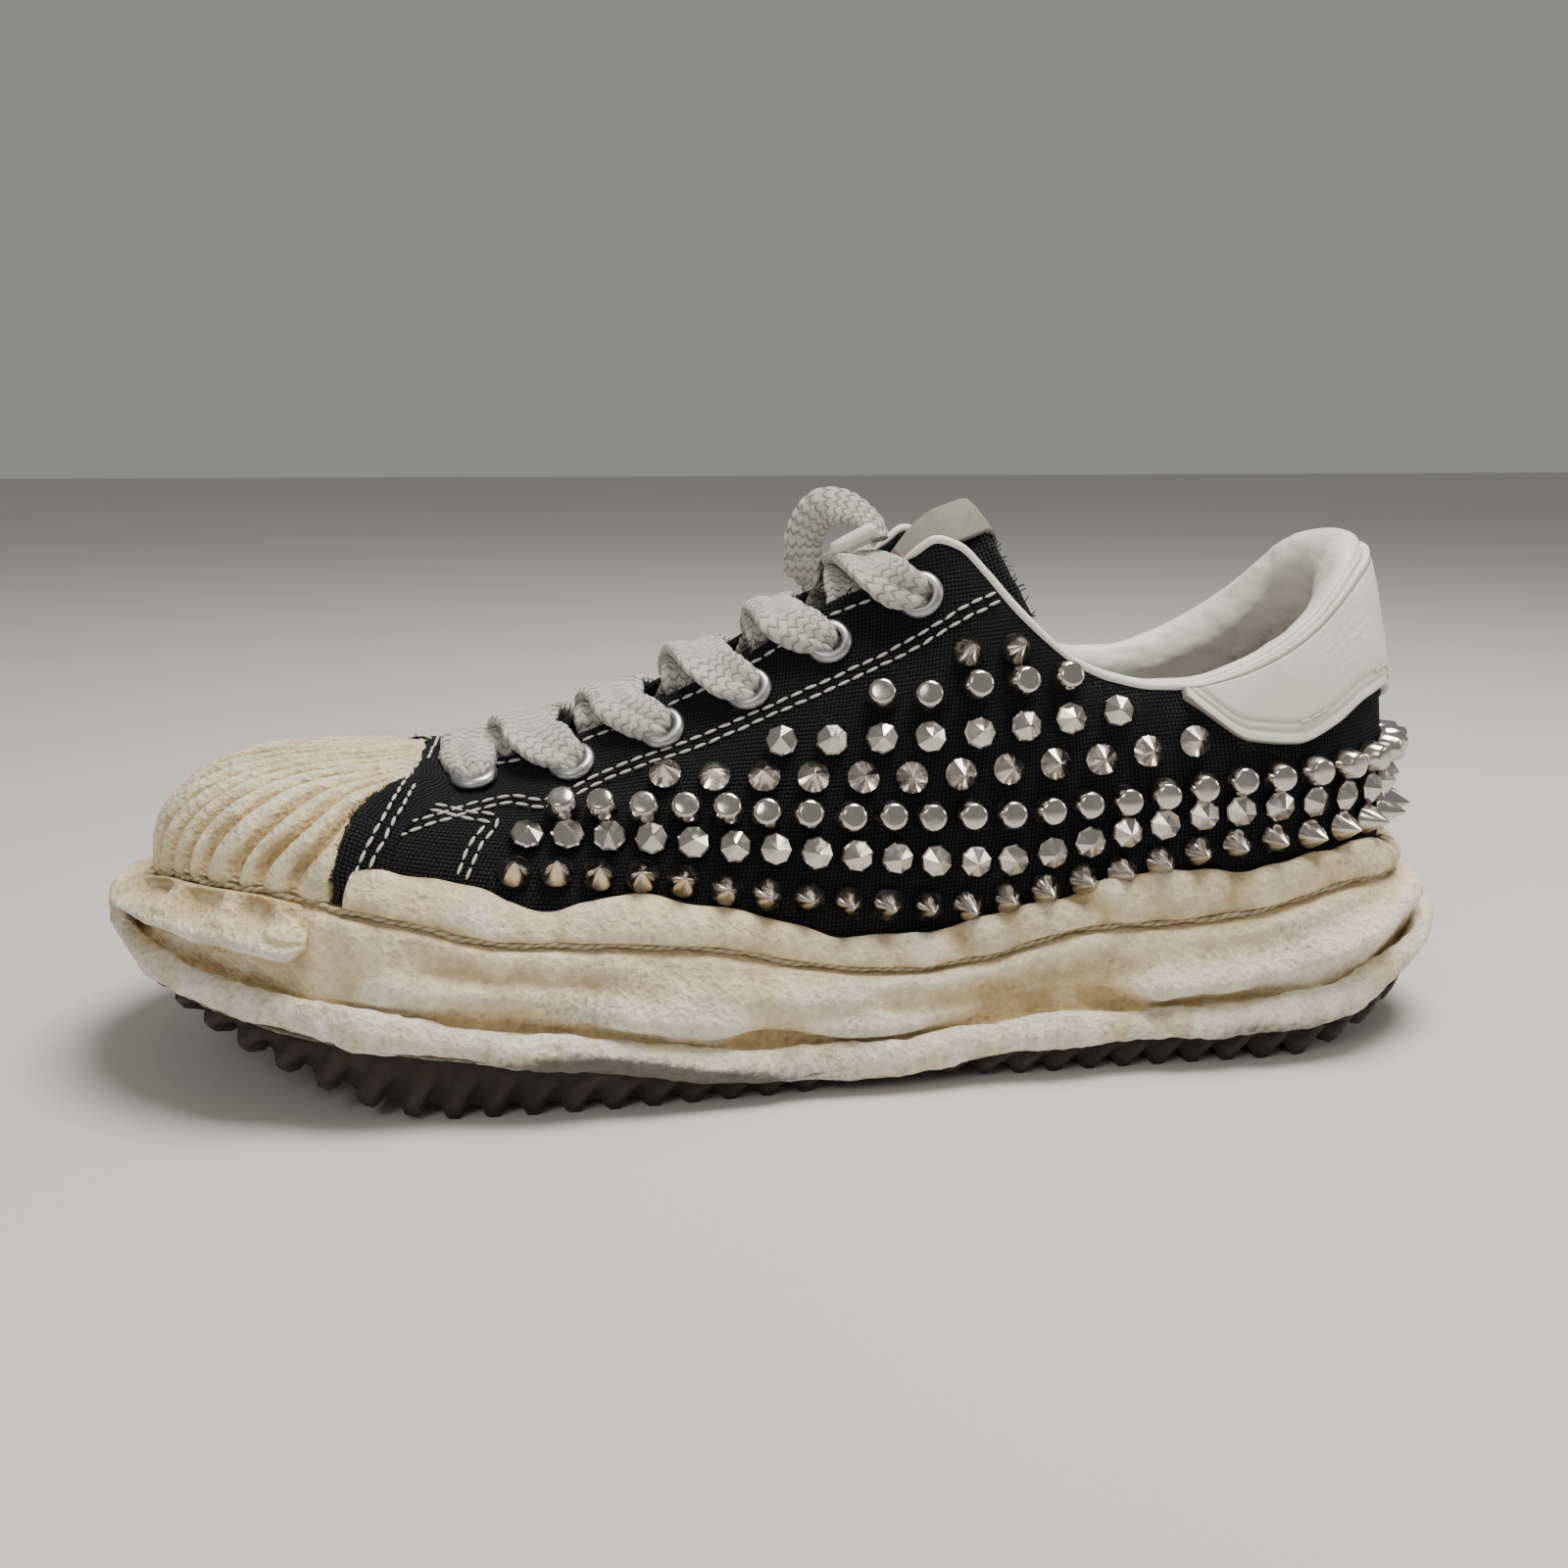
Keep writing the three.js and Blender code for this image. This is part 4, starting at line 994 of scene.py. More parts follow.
def build_bumper(sizes, colours):
    end = float(column_at(BUMPER_X, 0.1))
    angles = np.linspace(-end, end, 360)
    base, out = outline(angles), outward(angles)
    x = base[..., 0]
    seam, lip_top = SEAM_Z(x), LIP_Z(x) + 8
    tuck = 1.9 * ease(-90, -125, x)
    near_end = ease(end - 0.09, end - 0.015, np.abs(angles))

    def at(share, extra):
        share = np.broadcast_to(share, angles.shape)
        z = mix(seam, lip_top, share)
        face = 5.4 + 1.9 * ease(0, 0.4, share) + 1.2 * ease(0, 0.25, share)
        top = beside_skin(angles, seam - 0.3, 5.4 - tuck)
        p = base + out * (face - tuck * (1 - share) + 0.5 * swell(angles))[..., None]
        p[..., :2] = mix(top[..., :2], p[..., :2], ease(0, 0.3, share)[..., None])
        p = p + out * np.broadcast_to(extra, angles.shape)[..., None]
        p[..., 2] = z
        return p

    hollow = np.zeros(angles.shape)
    for first, last in BUMPER_HOLLOWS:
        for way in (1, -1):
            a = way * angles
            hollow = np.maximum(hollow, ease(first - 0.02, first + 0.05, a) * (1 - ease(last - 0.05, last + 0.02, a)))
    drop = near_end * 0.1
    panel = mix(4.6, 0.7, hollow) + near_end * 0.5
    rings = [
        at(0.03, 0.4), at(0.0, 1.5), at(0.03 + drop, mix(2.9, 2.2, hollow)), at(0.1, mix(4.2, 1.0, hollow)), at(0.19, panel),
        at(0.27, panel + 1.0), at(0.33, 5.3), at(0.42, 6.6), at(0.51, 5.6), at(0.57, 3.0), at(0.56, 0.9),
        at(0.4, 0.3), at(0.2, 0.3),
    ]
    points = rows_between(rings + rings[:1], (2, 2, 3, 4, 3, 3, 4, 5, 4, 3, 3, 3, 3))
    rows = np.arange(len(points))
    face = (ease(2, 6, rows) * (1 - ease(28, 33, rows)))[:, None]
    shrink = 1 - ease(end - 0.03, end, np.abs(angles)) * 0.55
    middle = points.mean(0)
    points = middle + (points - middle) * shrink[None, :, None]
    push = 0.5 * lumps(points, 9, 3, 4.4) + 0.18 * lumps(points, 3, 2, 2.9)
    points += grid_normals(points) * (push * face)[..., None]
    rim = bell(rows, 23, 6)[:, None]
    in_hollow = hollow[None] * bell(rows, 9, 6)[:, None]
    # Low relief in the pressed hollows and along the strip's edges, which the finish paints as shade; the rolled rim is
    # high and rubbed pale.
    relief = 0.35 * push * face + 0.35 * rim - 0.8 * in_hollow - 0.9 * bell(rows, 31, 3)[:, None]
    relief = relief - 0.5 * bell(rows, 3, 2)[:, None]
    rub = 0.85 * rim * (0.5 + 0.5 * lumps(points, 14, 2, 9.0)) + 0.25 * rim
    bm = bmesh.new()
    bend_grid(bm, points, {"relief": relief, "rub": rub, "soil_and_shade": 0.05 * rim})
    weld(bm)
    close_ends(bm)
    finished("toe_bumper_strip", bm, sole_hide(colours), ["toe_bumper"])


def build_seam_cord(sizes, colours):
    """The twisted cord laid in the groove between the band and the midsole."""
    angles = np.linspace(0, FULL_TURN, 1500) - 1.3
    x = outline(angles)[..., 0]
    front = ease(-100, -108, x)
    path = beside_skin(angles, SEAM_Z(x) + 0.1, 4.5 - 1.5 * front)
    path[..., 2] += 0.25 * np.sin(61 * angles)
    travel = np.concatenate([[0], np.cumsum(length(np.diff(path, axis=0)))])
    turn = np.linspace(0, FULL_TURN, 9)[:, None]
    ply = np.abs(np.cos(turn - travel / 2.6 * HALF_TURN))
    stop = 0.35 * bell((travel % 15.0) - 7.5, 0, 0.7)
    bm = bmesh.new()
    tube(bm, path, (0.78 * (0.68 + 0.32 * ply)) * (1 - stop), 8, {"relief": ply * 1.4 - 0.9})
    close_ends(bm)
    finished("seam_cord", bm, rope_finish())


# ---- toe cap ----
# Valleys between the toe cap's pleats: the column angle at the foot, halfway up and at the back edge.
CAP_VALLEYS = (
    (0.02, 0.01, 0.0), (0.13, 0.1, 0.06), (0.235, 0.225, 0.13), (0.33, 0.31, 0.24), (0.405, 0.395, 0.34),
    (0.465, 0.485, 0.5), (0.565, 0.6, 0.57), (0.625, 0.69, 0.64), (0.705, 0.76, 0.7),
)


def build_toe_cap(sizes, colours):
    columns, rows = 400, 120
    u = np.linspace(-1, 1, columns + 1)[None, :] * np.ones((rows + 1, 1))
    v = np.linspace(0, 1, rows + 1)[:, None] * np.ones((1, columns + 1))
    heights = np.linspace(0, 1, rows + 1)
    edge = column_at(mix(CAP_FOOT_X - 1, CAP_BACK_X, heights**2.2), mix(0.1, CAP_CORNER_RISE, heights))
    angles = u * edge[:, None]
    foot_angles = u[0] * edge[0]
    foot = rise_at(foot_angles, SEAM_Z(outline(foot_angles)[..., 0]) - 0.4)
    top = rise_at_x(u[0] * edge[-1], CAP_BACK_X)
    rises = mix(foot[None], top[None], v)
    spread = np.abs(angles) + 0.012 * np.sin(9 * v + 3 * u) * np.sin(HALF_TURN * v)
    lines = [np.full(v.shape, -0.2)]
    for low, half, high in CAP_VALLEYS:
        lines.append(mix(mix(low, half, ease(0, 0.5, v)), high, ease(0.5, 1, v)))
    lines.append(np.abs(edge)[:, None] * np.ones(v.shape))
    lines = np.array(lines)
    inside = np.clip((lines[None].squeeze() <= spread[None]).sum(0) - 1, 0, len(lines) - 2)
    low = np.take_along_axis(lines, inside[None], 0)[0]
    high = np.take_along_axis(lines, inside[None] + 1, 0)[0]
    across = np.clip((spread - low) / np.maximum(high - low, 1e-4), 0, 1)
    reach = np.minimum(across, 1 - across) * np.maximum(high - low, 0.01) * 58
    valley = np.exp(-((reach / 1.0) ** 1.4))
    crown = np.sin(HALF_TURN * across) ** 0.8
    strong = (0.6 + 0.4 * ease(0, 0.12, v)) * (1 - 0.6 * ease(0.45, 0.97, v))
    pleat = strong * (1.9 * crown - 1.9 * valley)
    from_back = 1 - v
    from_side = 1 - np.abs(u)
    edge_gap = np.minimum(from_back * 62, from_side * 70)
    edge_gap = np.minimum(edge_gap, v * 62 + 0.4)
    rounding = np.sqrt(np.clip(1 - (1 - np.clip(edge_gap / 2.2, 0, 1)) ** 2, 0, 1))
    thick = 2.7 * (0.62 + 0.38 * np.sin(HALF_TURN * np.clip(0.25 + v * 0.72, 0, 1)))
    welt = 0.35 * bell(edge_gap, 2.6, 1.6)
    flat = skin_off(angles, rises, np.full(angles.shape, 1.0))
    wrinkle = lumps(flat, 8.0, 3, 6.1)
    height = (thick + pleat + 0.16 * wrinkle + welt) * rounding + 0.3
    outer = skin_off(angles, rises, np.maximum(height, 0.3))
    inner = skin_off(angles[::6, ::6], rises[::6, ::6], np.full(angles[::6, ::6].shape, 0.25))
    # The pleat valleys and rounded edges are low in the relief mark and raised in the soil mark: painted shade in the
    # valleys with some grime, and darker along the cap's foot; the crowns are rubbed pale.
    relief = 1.3 * strong * (crown - 0.6) - 1.3 * valley * strong + 0.25 * wrinkle - 0.5 * (1 - rounding)
    rub = 0.45 * crown * strong * ease(0.1, 0.6, v) + 0.3 * (wrinkle > 0.3) - 0.3 * valley
    soil_and_shade = 0.14 * valley * strong + 0.22 * (1 - ease(0, 0.05, v))
    bm = bmesh.new()
    bend_grid(bm, outer, {"relief": relief, "rub": rub, "soil_and_shade": soil_and_shade})
    start = len(bm.verts)
    bend_grid(bm, inner)
    bmesh.ops.bridge_loops(bm, edges=[e for e in bm.edges if e.is_boundary])
    del start
    finished("toe_cap_hide", bm, cap_hide(colours), ["toe_cap"])


# ---- upper ----
def eyelet_spots(outer):
    spots = []
    for x in EYELETS:
        rise = 0.99
        angle = float(column_at(x, rise, outer))
        while length(skin(angle, rise) - skin(angle, 1.0)) < EYELET_EDGE:
            rise -= 0.005
            angle = float(column_at(x, rise, outer))
        spots.append((skin(angle, rise), skin_normal(angle, rise), angle, rise))
    return spots


SPOTS = {True: eyelet_spots(True), False: eyelet_spots(False)}

# Twin stitch lines on each side of the upper, as (x, z) along them.
EYESTAY_LINE = (
    (44, 107), (36, 103.7), (28.5, 99.3), (21, 94.8), (15, 92), (-4, 83.6), (-23, 75.6), (-36, 71.2), (-46, 67.6),
    (-53.5, 64.4), (-60, 62.6), (-67, 63.3), (-74, 62.5), (-80.5, 61.4), (-87, 60.3), (-95.5, 57.8), (-101.5, 53.4),
)
VAMP_LINE = ((-91, 63.4), (-83, 62.6), (-76, 61.2), (-71, 60), (-74, 56.4), (-77.5, 50))
CAP_SIDE_LINE = ((-87.5, 66.4), (-90.5, 63.8), (-93.5, 60), (-97, 54.8), (-98.5, 50.5))


def side_path(stations, outer, count=200):
    line = smooth_path([(x, 0, z) for x, z in stations], count)
    return on_side(line[:, 0], line[:, 2], outer)


def throat_path(outer, inset, first=-71.0, last=20.0, count=120):
    """Columns and rises that run beside the throat's edge, inset millimetres below it."""
    x = np.linspace(first, last, count)
    angle = column_at(x, 0.97, outer)
    edge = skin(angle, 1.0)
    rise = searched(lambda r: length(skin(angle, r) - edge) > inset, angle.shape, 0.6, 1)
    return angle, rise


def build_upper(sizes, colours):
    angles = around(540)
    rises = np.linspace(0.0, 1, 88)
    a, r = np.meshgrid(angles, rises)
    outer = skin(a, r)
    normal = skin_normal(a, r)
    x = outer[..., 0]
    flex = bell(x, -52, 26) * bell(r, 0.62, 0.28)
    fold = 0.6 * np.sin((x + 0.9 * (outer[..., 2] - 60)) / 4.6 + 1.5 * lumps(outer, 30, 2, 1.0)) * flex
    loose = 0.3 * lumps(outer, 22, 3, 8.8) * ease(0.02, 0.2, r) * (1 - ease(0.93, 1, r))
    outer = outer + normal * (fold + loose)[..., None]
    inner = skin_off(a[::-3], r[::-3], np.full(a[::-3].shape, -WALL))
    top_roll = skin_off(a[-1:], r[-1:], np.full(a[-1:].shape, -WALL / 2))
    top_roll[..., 2] += 0.7
    points = np.concatenate([outer, top_roll, inner, outer[:1]])
    edge_rub = bell(r, 1.0, 0.02) * 0.7
    rub = np.concatenate([edge_rub + 0.25 * np.abs(fold), np.full(top_roll.shape[:2], 0.9), 0 * a[::-3], 0 * a[:1]])
    bm = bmesh.new()
    bend_grid(bm, points, {"rub": rub})
    weld(bm)
    bm.faces.ensure_lookup_table()
    for outer_side in (True, False):
        for centre, way, _, _ in SPOTS[outer_side]:
            centre, way = Vector(centre * MM), Vector(way)
            cut = []
            for face in bm.faces:
                off = face.calc_center_median() - centre
                if off.length < 0.012:
                    depth = off.dot(way)
                    if abs(depth) < 0.005 and (off - way * depth).length < 0.0041:
                        cut.append(face)
            bmesh.ops.delete(bm, geom=cut, context="FACES")
            rim = [e for e in bm.edges if e.is_boundary]
            for vert in {v for e in rim for v in e.verts}:
                off = vert.co - centre
                depth = off.dot(way)
                flat = off - way * depth
                if 0 < flat.length < 0.007:
                    vert.co = centre + way * depth + flat.normalized() * 0.0044
            bmesh.ops.bridge_loops(bm, edges=rim)
    finished("canvas_upper", bm, canvas_finish(colours), ["upper"])


def build_vamp_edge(sizes, colours):
    """The canvas edge that laps over the back of the toe cap."""
    v = np.linspace(0, 1, 150)
    edge = column_at(mix(CAP_FOOT_X - 1, CAP_BACK_X, v**2.2), mix(0.1, CAP_CORNER_RISE, v))
    corner = edge[-1]
    side_angles, side_rises = edge, mix(rise_at(edge, SEAM_Z(outline(edge)[..., 0]) + 0.6)[0], rise_at_x(edge[-1:], CAP_BACK_X)[0], v)
    back = np.linspace(corner, -corner, 140)[1:]
    back_rises = rise_at_x(back, CAP_BACK_X)
    line_a = np.concatenate([side_angles, back, -side_angles[::-1][1:]])
    line_r = np.concatenate([side_rises, back_rises, side_rises[::-1][1:]])
    line = skin(line_a, line_r)
    travel = np.concatenate([[0], np.cumsum(length(np.diff(line, axis=0)))])
    ragged = 0.45 * np.sin(travel / 1.3) * np.sin(travel / 4.1 + 1) + 0.5 * np.sin(travel / 7)
    ahead = unit(np.gradient(line, axis=0))
    normal = skin_normal(line_a, line_r)
    back_way = unit(np.cross(normal, ahead))
    back_way = np.where((back_way[:, :1] < 0) & (np.abs(back_way[:, :1]) > 0.1), -back_way, back_way)
    steps = ((-1.5, 2.6), (-1.8, 3.2), (-1.1, 3.7), (0.5, 3.6), (2.2, 2.9), (4, 1.9), (5.8, 1.0), (7.6, 0.4), (9, -0.3))
    rings = []
    for move, lift in steps:
        shift = move + ragged * (move < 0)
        p = line + back_way * np.asarray(shift, float)[..., None] * np.ones(line.shape[0])[:, None]
        rings.append(p + normal * lift)
    inner = [line + back_way * m + normal * lift for m, lift in ((8, -0.6), (4.5, 0.4), (1.2, 2.0))]
    points = rows_between(rings + inner + rings[:1], (2, 2, 3, 4, 4, 4, 4, 3, 2, 2, 2, 2))
    bm = bmesh.new()
    rows = np.arange(len(points))
    bend_grid(bm, points, {"rub": bell(rows, 3, 4)[:, None] * np.full(points.shape[:2], 0.7)})
    weld(bm)
    close_ends(bm)
    finished("vamp_edge", bm, canvas_finish(colours))


def build_piping(sizes, colours):
    first = float(column_at(22.0, 1.0))
    angle = np.linspace(first, FULL_TURN - first, 560)
    path = skin_off(angle, np.full(angle.shape, 1.0), np.full(angle.shape, -0.7))
    path[..., 2] += 0.7
    end = np.minimum(np.arange(len(path)), np.arange(len(path))[::-1])
    radius = sizes.piping / 2 * (0.4 + 0.6 * ease(0, 6, end)) * (1 + 0.06 * np.sin(np.arange(len(path)) / 5))
    bm = bmesh.new()
    tube(bm, path, radius, 12)
    close_ends(bm)
    finished("topline_piping", bm, smooth_hide_finish(colours))


def build_heel_tab(sizes, colours):
    start = float(column_at(TAB_START_X, 1.0))
    columns, rows = 360, 52
    u = np.linspace(start, FULL_TURN - start, columns + 1)[None, :] * np.ones((rows + 1, 1))
    v = np.linspace(0, 1, rows + 1)[:, None] * np.ones((1, columns + 1))
    edge = opening(u[0])
    low = np.minimum(TAB_LOW_Z(edge[..., 0]), edge[..., 2] - 2.5)
    rises = mix(rise_at(u[0], low)[None], 0.998, v)
    points = skin(u, rises)
    gap_low = length(points - points[:1])
    gap_side = np.minimum(length(points - points[:, :1]), length(points - points[:, -1:]))
    gap = np.minimum(gap_low, gap_side)
    rounding = np.sqrt(np.clip(1 - (1 - np.clip(gap / 0.7, 0, 1)) ** 2, 0, 1))
    crease_zone = bell(v, 0.62, 0.25) * (bell(u, 2.68, 0.1) + bell(u, FULL_TURN - 2.68, 0.1))
    crease = 0.07 * np.sin(60 * v + 9 * u + 3 * lumps(points, 12, 2, 3.3)) * crease_zone
    stitched = -0.42 * bell(gap_low, 3.1, 0.75) - 0.42 * bell(gap_low, 5.1, 0.75)
    seam = -0.45 * bell(v, 0.93, 0.014)
    wave = 0.35 * lumps(points, 20, 2, 2.4)
    height = 0.45 + 1.6 * rounding * (1 + 0 * v) + crease + (stitched + seam + wave) * rounding
    outer = skin_off(u, rises, height)
    inner = skin_off(u[::4, ::6], rises[::4, ::6], np.full(u[::4, ::6].shape, 0.3))
    # Low relief darkens the creases and stitch grooves as painted shade; the raw edge and the seam line below the
    # topline are their own darker colour.
    relief = crease * 3 - 1.1 * bell(v, 0.93, 0.012) - 1.6 * bell(gap, 0, 0.5) + 0.9 * stitched
    soil_and_shade = 0.3 * bell(gap, 0, 1.2)
    bm = bmesh.new()
    bend_grid(bm, outer, {"relief": relief, "soil_and_shade": soil_and_shade})
    bend_grid(bm, inner)
    bmesh.ops.bridge_loops(bm, edges=[e for e in bm.edges if e.is_boundary])
    finished("heel_patch", bm, smooth_hide_finish(colours), ["heel_tab"])


def build_collar(sizes, colours):
    start = float(column_at(50.0, 1.0))
    angles = np.linspace(start, FULL_TURN - start, 420)
    pad = PAD(opening(angles)[..., 0])
    end = np.minimum(angles - start, FULL_TURN - start - angles)
    taper = 0.25 + 0.75 * ease(0, 0.12, end)

    def at(rise, depth, lift=0.0):
        p = skin_off(angles, np.full(angles.shape, rise), -np.asarray(depth, float) * np.ones(angles.shape))
        p[..., 2] += lift
        return p

    back = WALL + 1.4
    rings = [
        at(0.1, back), at(0.45, back), at(0.8, back), at(0.97, back), at(1.0, WALL * 0.9, 0.9), at(1.0, 0.4, 1.1),
        at(1.0, 0.9, 1.5 + 0.25 * pad), at(1.0, back - 0.8 + 0.25 * pad, 2.2 + 0.42 * pad * taper),
        at(1.0, back + 0.75 * pad * taper, 1.6 + 0.3 * pad * taper), at(0.96, back + 1 + 1.05 * pad * taper, 0.4),
        at(0.84, back + 1 + 1.1 * pad * taper), at(0.62, back + 1 + 0.75 * pad * taper),
        at(0.4, back + 1 + 0.3 * pad), at(0.1, back + 1),
    ]
    points = rows_between(rings + rings[:1], (3, 3, 2, 2, 2, 3, 5, 6, 6, 7, 8, 6, 6, 2))
    rows = np.arange(len(points))
    face = (ease(16, 22, rows) * (1 - ease(50, 58, rows)))[:, None]
    crease = 0.55 * lumps(points * (1, 1, 2.2), 9, 3, 1.9) + 0.5 * lumps(points, 26, 2, 5.5)
    points -= grid_normals(points) * (crease * face * 0.7)[..., None] * -1
    # Crease hollows are low in the relief mark, which the finish paints as shade.
    relief = np.clip(crease, -1, 0) * face * 0.55
    x = points[..., 0]
    # Darker going down into the shoe and towards the heel: painted shade inside the collar, with some grime.
    deep = ease(34, 58, rows)[:, None]
    soil_and_shade = deep * (0.72 + 0.5 * ease(85, 125, x)) + 0.2 * deep * bell(x, 70, 16)
    bm = bmesh.new()
    bend_grid(bm, points, {"relief": relief, "soil_and_shade": soil_and_shade})
    weld(bm)
    close_ends(bm)
    piece = finished("collar_pad", bm, smooth_hide_finish(colours), ["collar_lining"])


def build_insole(sizes, colours):
    angles = around(260)

    def ring(inset, lift):
        p = outline(angles) - outward(angles) * inset
        p[..., 2] = BED_Z(outline(angles)[..., 0]) + lift
        return p

    rings = [
        spine(angles, lambda x: BED_Z(x) + 0.35), ring(WALL + 1.2, 0.35), ring(WALL + 1.0, 1.6),
        ring(WALL + 2.0, 3.1), ring(WALL + 9, 3.1), spine(angles, lambda x: BED_Z(x) + 2.7),
    ]
    points = rows_between(rings, (3, 2, 3, 5, 14))
    points[..., 2] += 0.35 * lumps(points, 25, 2, 3.3) * ease(8, 14, np.arange(len(points)))[:, None]
    bm = bmesh.new()
    bend_grid(bm, points)
    weld(bm)
    material = fabric_finish("insole_cloth", (0.36, 0.33, 0.29), (0.12, 0.1, 0.085), 0.0009)
    finished("insole_pad", bm, material, ["insole"])


# ---- tongue ----
def tongue_point(x, across, lift):
    drop = TONGUE_DROP(x) * np.abs(across) ** 2
    slope = TONGUE_Z(x + 0.5) - TONGUE_Z(x - 0.5)
    lean = ease(0, 41, x) * (0.42 * drop + 2 * np.abs(across))
    p = stack(x + lean, across * TONGUE_HALF(x) + AXIS(x) * 0.4, TONGUE_Z(x) - drop)
    up = unit(stack(-slope, 2 * TONGUE_DROP(x) * across / TONGUE_HALF(x), 1.0 + 0 * slope))
    return p + up * np.asarray(lift, float)[..., None]


def build_tongue(sizes, colours):
    x, across = np.meshgrid(np.linspace(-77, 41, 130), np.linspace(-1, 1, 72))
    ragged = 0.5 * np.sin(x / 1.7) * np.sin(x / 5 + 2)
    across = across * (1 + 0.018 * ragged)
    x = x + 0.35 * np.sin(across * 41) * np.sin(across * 13) * ease(30, 41, x)
    plain = tongue_point(x, across, np.zeros(x.shape))
    wave = 0.5 * lumps(plain, 16, 2, 4.1)
    edge = np.minimum((1 - np.abs(across)) * 20, (41 - x))
    rounding = np.sqrt(np.clip(1 - (1 - np.clip(edge / 1.3, 0, 1)) ** 2, 0, 1))
    outer = tongue_point(x, across, wave * rounding - 1.3 * (1 - rounding))
    inner = tongue_point(x[::3, ::3], across[::3, ::3], np.full(x[::3, ::3].shape, -2.6))
    bm = thick_sheet(outer, inner, {"rub": 0.8 * bell(edge, 0, 1.2)})
    finished("tongue_cloth", bm, canvas_finish(colours), ["tongue"])


def build_label(sizes, colours):
    steps = np.linspace(21, 40.4, 60)
    lift = 0.45 + 2.4 * ease(21, 32, steps) * ease(42, 34, steps)
    centre = tongue_point(steps, np.zeros(steps.shape), lift)
    tail = smooth_path([centre[-1], centre[-1] + (1.9, 0, 0.1), centre[-1] + (3.0, 0, -1.6), centre[-1] + (3.5, 0, -5.5)], 24)
    y = np.linspace(-10.5, 10.5, 44)
    rows = []
    for side in y:
        share = side / TONGUE_HALF(steps)
        line = tongue_point(steps, share, lift)
        bow = tongue_point(np.array([40.4]), np.array([side / 20.0]), np.zeros(1))[0] - tongue_point(np.array([40.4]), np.zeros(1), np.zeros(1))[0]
        rows.append(np.concatenate([line, tail[1:] + bow]))
    outer = np.array(rows)
    outer[..., 2] += 0.12 * lumps(outer, 5, 2, 1.1)
    normal = grid_normals(outer)
    travel = np.arange(outer.shape[1])[None] * np.ones((len(y), 1))
    inner = outer - normal * 0.55
    bm = thick_sheet(outer, inner[::2, ::2], {"relief": 1.0 * ((travel > 5) & (travel < 13))})
    finished("tongue_ribbon", bm, ribbon_finish(colours), ["tongue_label"])


# ---- eyelets ----
def stand(centre, normal):
    """The matrix that stands a shape made round Z on a spot of the shoe."""
    turn = Vector((0, 0, 1)).rotation_difference(Vector(normal)).to_matrix().to_4x4()
    return Matrix.Translation(Vector(centre) * MM) @ turn


def build_eyelets(sizes, colours):
    material = metal_finish("eyelet_alloy", (0.46, 0.465, 0.47), 0.34, 1.0, 0.00004)
    hole, wide = EYELET_HOLE, sizes.eyelet_width / 2
    profile = (
        (hole, -WALL - 0.6), (hole + 0.6, -WALL - 0.6), (hole + 0.6, 0.5), (wide - 0.3, 0.55), (wide, 1.0),
        (wide - 0.1, 1.7), (wide - 0.7, 2.35), (wide - 1.5, 2.7), (wide - 2.3, 2.55), (hole + 0.25, 1.9), (hole, 1.1),
    )
    for side, outer in (("outer", True), ("inner", False)):
        bm = bmesh.new()
        for n, (centre, normal, _, _) in enumerate(SPOTS[outer]):
            ring = [bm.verts.new((r * MM, 0, h * MM)) for r, h in profile]
            edges = [bm.edges.new((ring[i], ring[(i + 1) % len(ring)])) for i in range(len(ring))]
            turned = bmesh.ops.spin(
                bm, geom=ring + edges, cent=(0, 0, 0), axis=(0, 0, 1), angle=FULL_TURN, steps=48, use_merge=True
            )
            del turned
            fresh = [v for v in bm.verts if v.tag is False]
            squash = Matrix.Diagonal((1 + 0.02 * math.sin(n * 3.0), 1 - 0.03 * math.sin(n * 5.0), 1, 1))
            bmesh.ops.transform(bm, matrix=stand(centre, normal) @ squash, verts=fresh)
            for vert in bm.verts:
                vert.tag = True
        weld(bm, 1e-7)
        finished(f"eyelet_rings_{side}", bm, material, [f"eyelet_{side}_{n + 1}" for n in range(6)])


# ---- laces ----
def edge_by(spot, outer, move):
    """A point of the throat's edge beside an eyelet, moved along the shoe."""
    angle = column_at(np.array(spot[0][0] + move), 0.985, outer)
    return skin(angle, 1.0), skin_normal(angle, 0.97)


